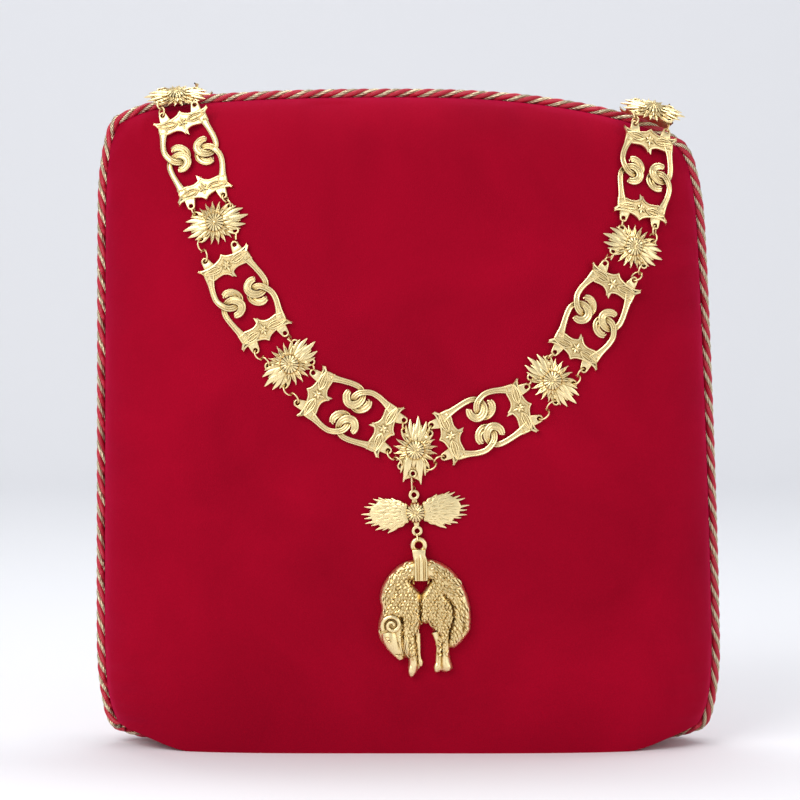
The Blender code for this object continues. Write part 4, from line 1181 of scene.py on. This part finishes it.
def velvet_material():
    material, tree, shader = node_material("crimson velvet")
    place = tree.nodes.new("ShaderNodeTexCoord")
    brushed = add_node(tree, "ShaderNodeTexNoise", Scale=14.0, Detail=4.0, Distortion=0.6)
    link_nodes(tree, place, "Object", brushed, "Vector")
    tone = colour_ramp(tree, [(0.30, (0.255, 0.0008, 0.011)), (0.70, (0.33, 0.0012, 0.015))])
    link_nodes(tree, brushed, "Fac", tone, "Fac")
    link_nodes(tree, tone, "Color", shader, "Base Color")
    shader.inputs["Roughness"].default_value = 0.85
    shader.inputs["Specular IOR Level"].default_value = 0.04
    shader.inputs["Sheen Weight"].default_value = 0.45
    shader.inputs["Sheen Roughness"].default_value = 0.5
    shader.inputs["Sheen Tint"].default_value = (0.85, 0.01, 0.14, 1)
    pile = add_node(tree, "ShaderNodeTexNoise", Scale=1400.0, Detail=2.0)
    link_nodes(tree, place, "Object", pile, "Vector")
    bump = add_node(tree, "ShaderNodeBump", Strength=0.5, Distance=0.25 * MM)
    link_nodes(tree, pile, "Fac", bump, "Height")
    link_nodes(tree, bump, "Normal", shader, "Normal")
    return material


velvet = bpy.data.objects.new("velvet_cushion", velvet_bag())
bpy.context.scene.collection.objects.link(velvet)
velvet.data.materials.append(velvet_material())
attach(velvet, "root")
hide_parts("cushion")
print("velvet:", len(velvet.data.polygons), "faces")

# %% [markdown]
# ## Twisted cord
# The seam is covered by a cord of four strands, two of red satin and two of gold thread, laid round
# each other. Each strand is a disc that is extruded along a helix about the cord's route, and it
# keeps the place of each point along and around it, so that the yarns can follow the strand.

# %% Lay the cord
PITCH = 22.0
HELIX_STEP = 1.5


def seam_route():
    """The seam from the left tuck, up, over the top and down to the right tuck."""
    across = [-math.cos(math.pi * c / COLUMNS) for c in range(COLUMNS + 1)]
    rises = [(1 - math.cos(math.pi * r / ROWS)) / 2 for r in range(ROWS + 1)]
    points = [seam_point(across[c], 0) for c in (4, 3, 2, 1)]
    points += [seam_point(-1, rises[r]) for r in range(ROWS)]
    points += [seam_point(across[c], 1) for c in range(COLUMNS)]
    points += [seam_point(1, rises[r]) for r in range(ROWS, 0, -1)]
    points += [seam_point(across[c], 0) for c in (16, 15, 14, 13, 12)]
    return points


def cord_route():
    """The cord's middle, outside the seam, as points at even steps."""
    seam = seam_route()
    moved = []
    for k, point in enumerate(seam):
        before = (point - seam[max(k - 1, 0)]).normalized() if k else (seam[1] - point).normalized()
        after = (seam[min(k + 1, len(seam) - 1)] - point).normalized() if k < len(seam) - 1 else before
        ahead = (before + after).normalized()
        out = Vector((-ahead.z, 0, ahead.x))
        stretch = 1 / max(ahead.dot(after), 0.5)
        moved.append(point + out * (PIPING_RADIUS + PIPING_GAP) * stretch)
    fine = smooth_path(moved, 8)
    route, left = [fine[0]], HELIX_STEP
    for a, b in zip(fine, fine[1:]):
        span = (b - a).length
        while span > left:
            a = a + (b - a) * (left / span)
            route.append(a)
            span, left = (b - a).length, HELIX_STEP
        left -= span
    return route


def strand(route, phase, reach, radius):
    form = bmesh.new()
    lay = form.verts.layers.float_vector.new("lay")
    face = bmesh.ops.create_circle(form, cap_ends=True, segments=8, radius=1.0)["verts"][0].link_faces[0]
    spots = []
    for k, point in enumerate(route):
        ahead = (route[min(k + 1, len(route) - 1)] - route[max(k - 1, 0)]).normalized()
        out = Vector((-ahead.z, 0, ahead.x))
        a = phase - 2 * math.pi * k * HELIX_STEP / PITCH
        spots.append((point + reach * (out * math.cos(a) + Vector((0, -1, 0)) * math.sin(a)), point))
    before = Matrix.Identity(4)
    for k, (spot, point) in enumerate(spots):
        ahead = (spots[min(k + 1, len(spots) - 1)][0] - spots[max(k - 1, 0)][0]).normalized()
        out = in_plane(spot - point, ahead)
        frame = Matrix((out * radius, ahead.cross(out) * radius, ahead)).transposed().to_4x4()
        frame.translation = spot
        if k:
            grown = bmesh.ops.extrude_face_region(form, geom=[face])["geom"]
            face = next(g for g in grown if isinstance(g, bmesh.types.BMFace))
        bmesh.ops.transform(form, matrix=frame @ before.inverted(), verts=face.verts)
        before = frame
        for vert in face.verts:
            side = (vert.co - spot) / radius
            vert[lay] = (side.dot(out), side.dot(ahead.cross(out)), k * HELIX_STEP)
    bmesh.ops.recalc_face_normals(form, faces=form.faces)
    mesh = mesh_of(form, "strand")
    mesh.transform(Matrix.Scale(MM, 4))
    mesh.shade_smooth()
    return mesh


def yarn_material(name, yarns, slope, low, high, metallic, roughness, depth):
    """Fine yarns that wind round a strand, from the strand's own lay. The grooves between the yarns are
    painted darker as shade and their crests painted lighter.
    """
    material, tree, shader = node_material(name)
    lay = add_node(tree, "ShaderNodeAttribute", attribute_name="lay")
    parts = tree.nodes.new("ShaderNodeSeparateXYZ")
    link_nodes(tree, lay, "Vector", parts, "Vector")
    turn = add_node(tree, "ShaderNodeMath", operation="ARCTAN2")
    link_nodes(tree, parts, "Y", turn, 0)
    link_nodes(tree, parts, "X", turn, 1)
    many = add_node(tree, "ShaderNodeMath", operation="MULTIPLY")
    many.inputs[1].default_value = yarns
    link_nodes(tree, turn, 0, many, 0)
    wound = add_node(tree, "ShaderNodeMath", operation="MULTIPLY_ADD")
    wound.inputs[1].default_value = slope
    link_nodes(tree, parts, "Z", wound, 0)
    link_nodes(tree, many, 0, wound, 2)
    wave = add_node(tree, "ShaderNodeMath", operation="SINE")
    link_nodes(tree, wound, 0, wave, 0)
    share = tree.nodes.new("ShaderNodeMapRange")
    share.inputs["From Min"].default_value = -1
    link_nodes(tree, wave, 0, share, "Value")
    # Painted shade and highlight: the grooves between yarns take the dark colour, the yarn crests the light
    # one
    tone = colour_ramp(tree, [(0.15, low), (0.75, high)])
    link_nodes(tree, share, "Result", tone, "Fac")
    link_nodes(tree, tone, "Color", shader, "Base Color")
    shader.inputs["Metallic"].default_value = metallic
    shader.inputs["Roughness"].default_value = roughness
    bump = add_node(tree, "ShaderNodeBump", Strength=0.6, Distance=depth * MM)
    link_nodes(tree, share, "Result", bump, "Height")
    link_nodes(tree, bump, "Normal", shader, "Normal")
    return material


# For each: yarn count, winding slope, painted groove shade, painted lit crest, then metallic, roughness and
# bump depth
SATIN = yarn_material("red satin yarn", 9, 2.6, (0.26, 0.001, 0.012), (0.70, 0.008, 0.045), 0.0, 0.42, 0.10)
GOLD_THREAD = yarn_material("gold thread", 7, -5.2, (0.16, 0.08, 0.03), (0.96, 0.84, 0.56), 0.8, 0.34, 0.22)
route = cord_route()
cord_length = HELIX_STEP * (len(route) - 1)
for k, (reach, radius, material, slot) in enumerate([
    (1.22, 1.32, SATIN, "cord"), (1.42, 1.08, GOLD_THREAD, "cord"),
    (1.22, 1.32, SATIN, "cord"), (1.42, 1.08, GOLD_THREAD, "cord"),
]):
    piece = bpy.data.objects.new(f"cord_strand_{k + 1}", strand(route, k * math.pi / 2, reach, radius))
    bpy.context.scene.collection.objects.link(piece)
    piece.data.materials.append(material)
    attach(piece, "root")
    if k == 0:
        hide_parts("piping")
print("cord:", round(cord_length), "mm")
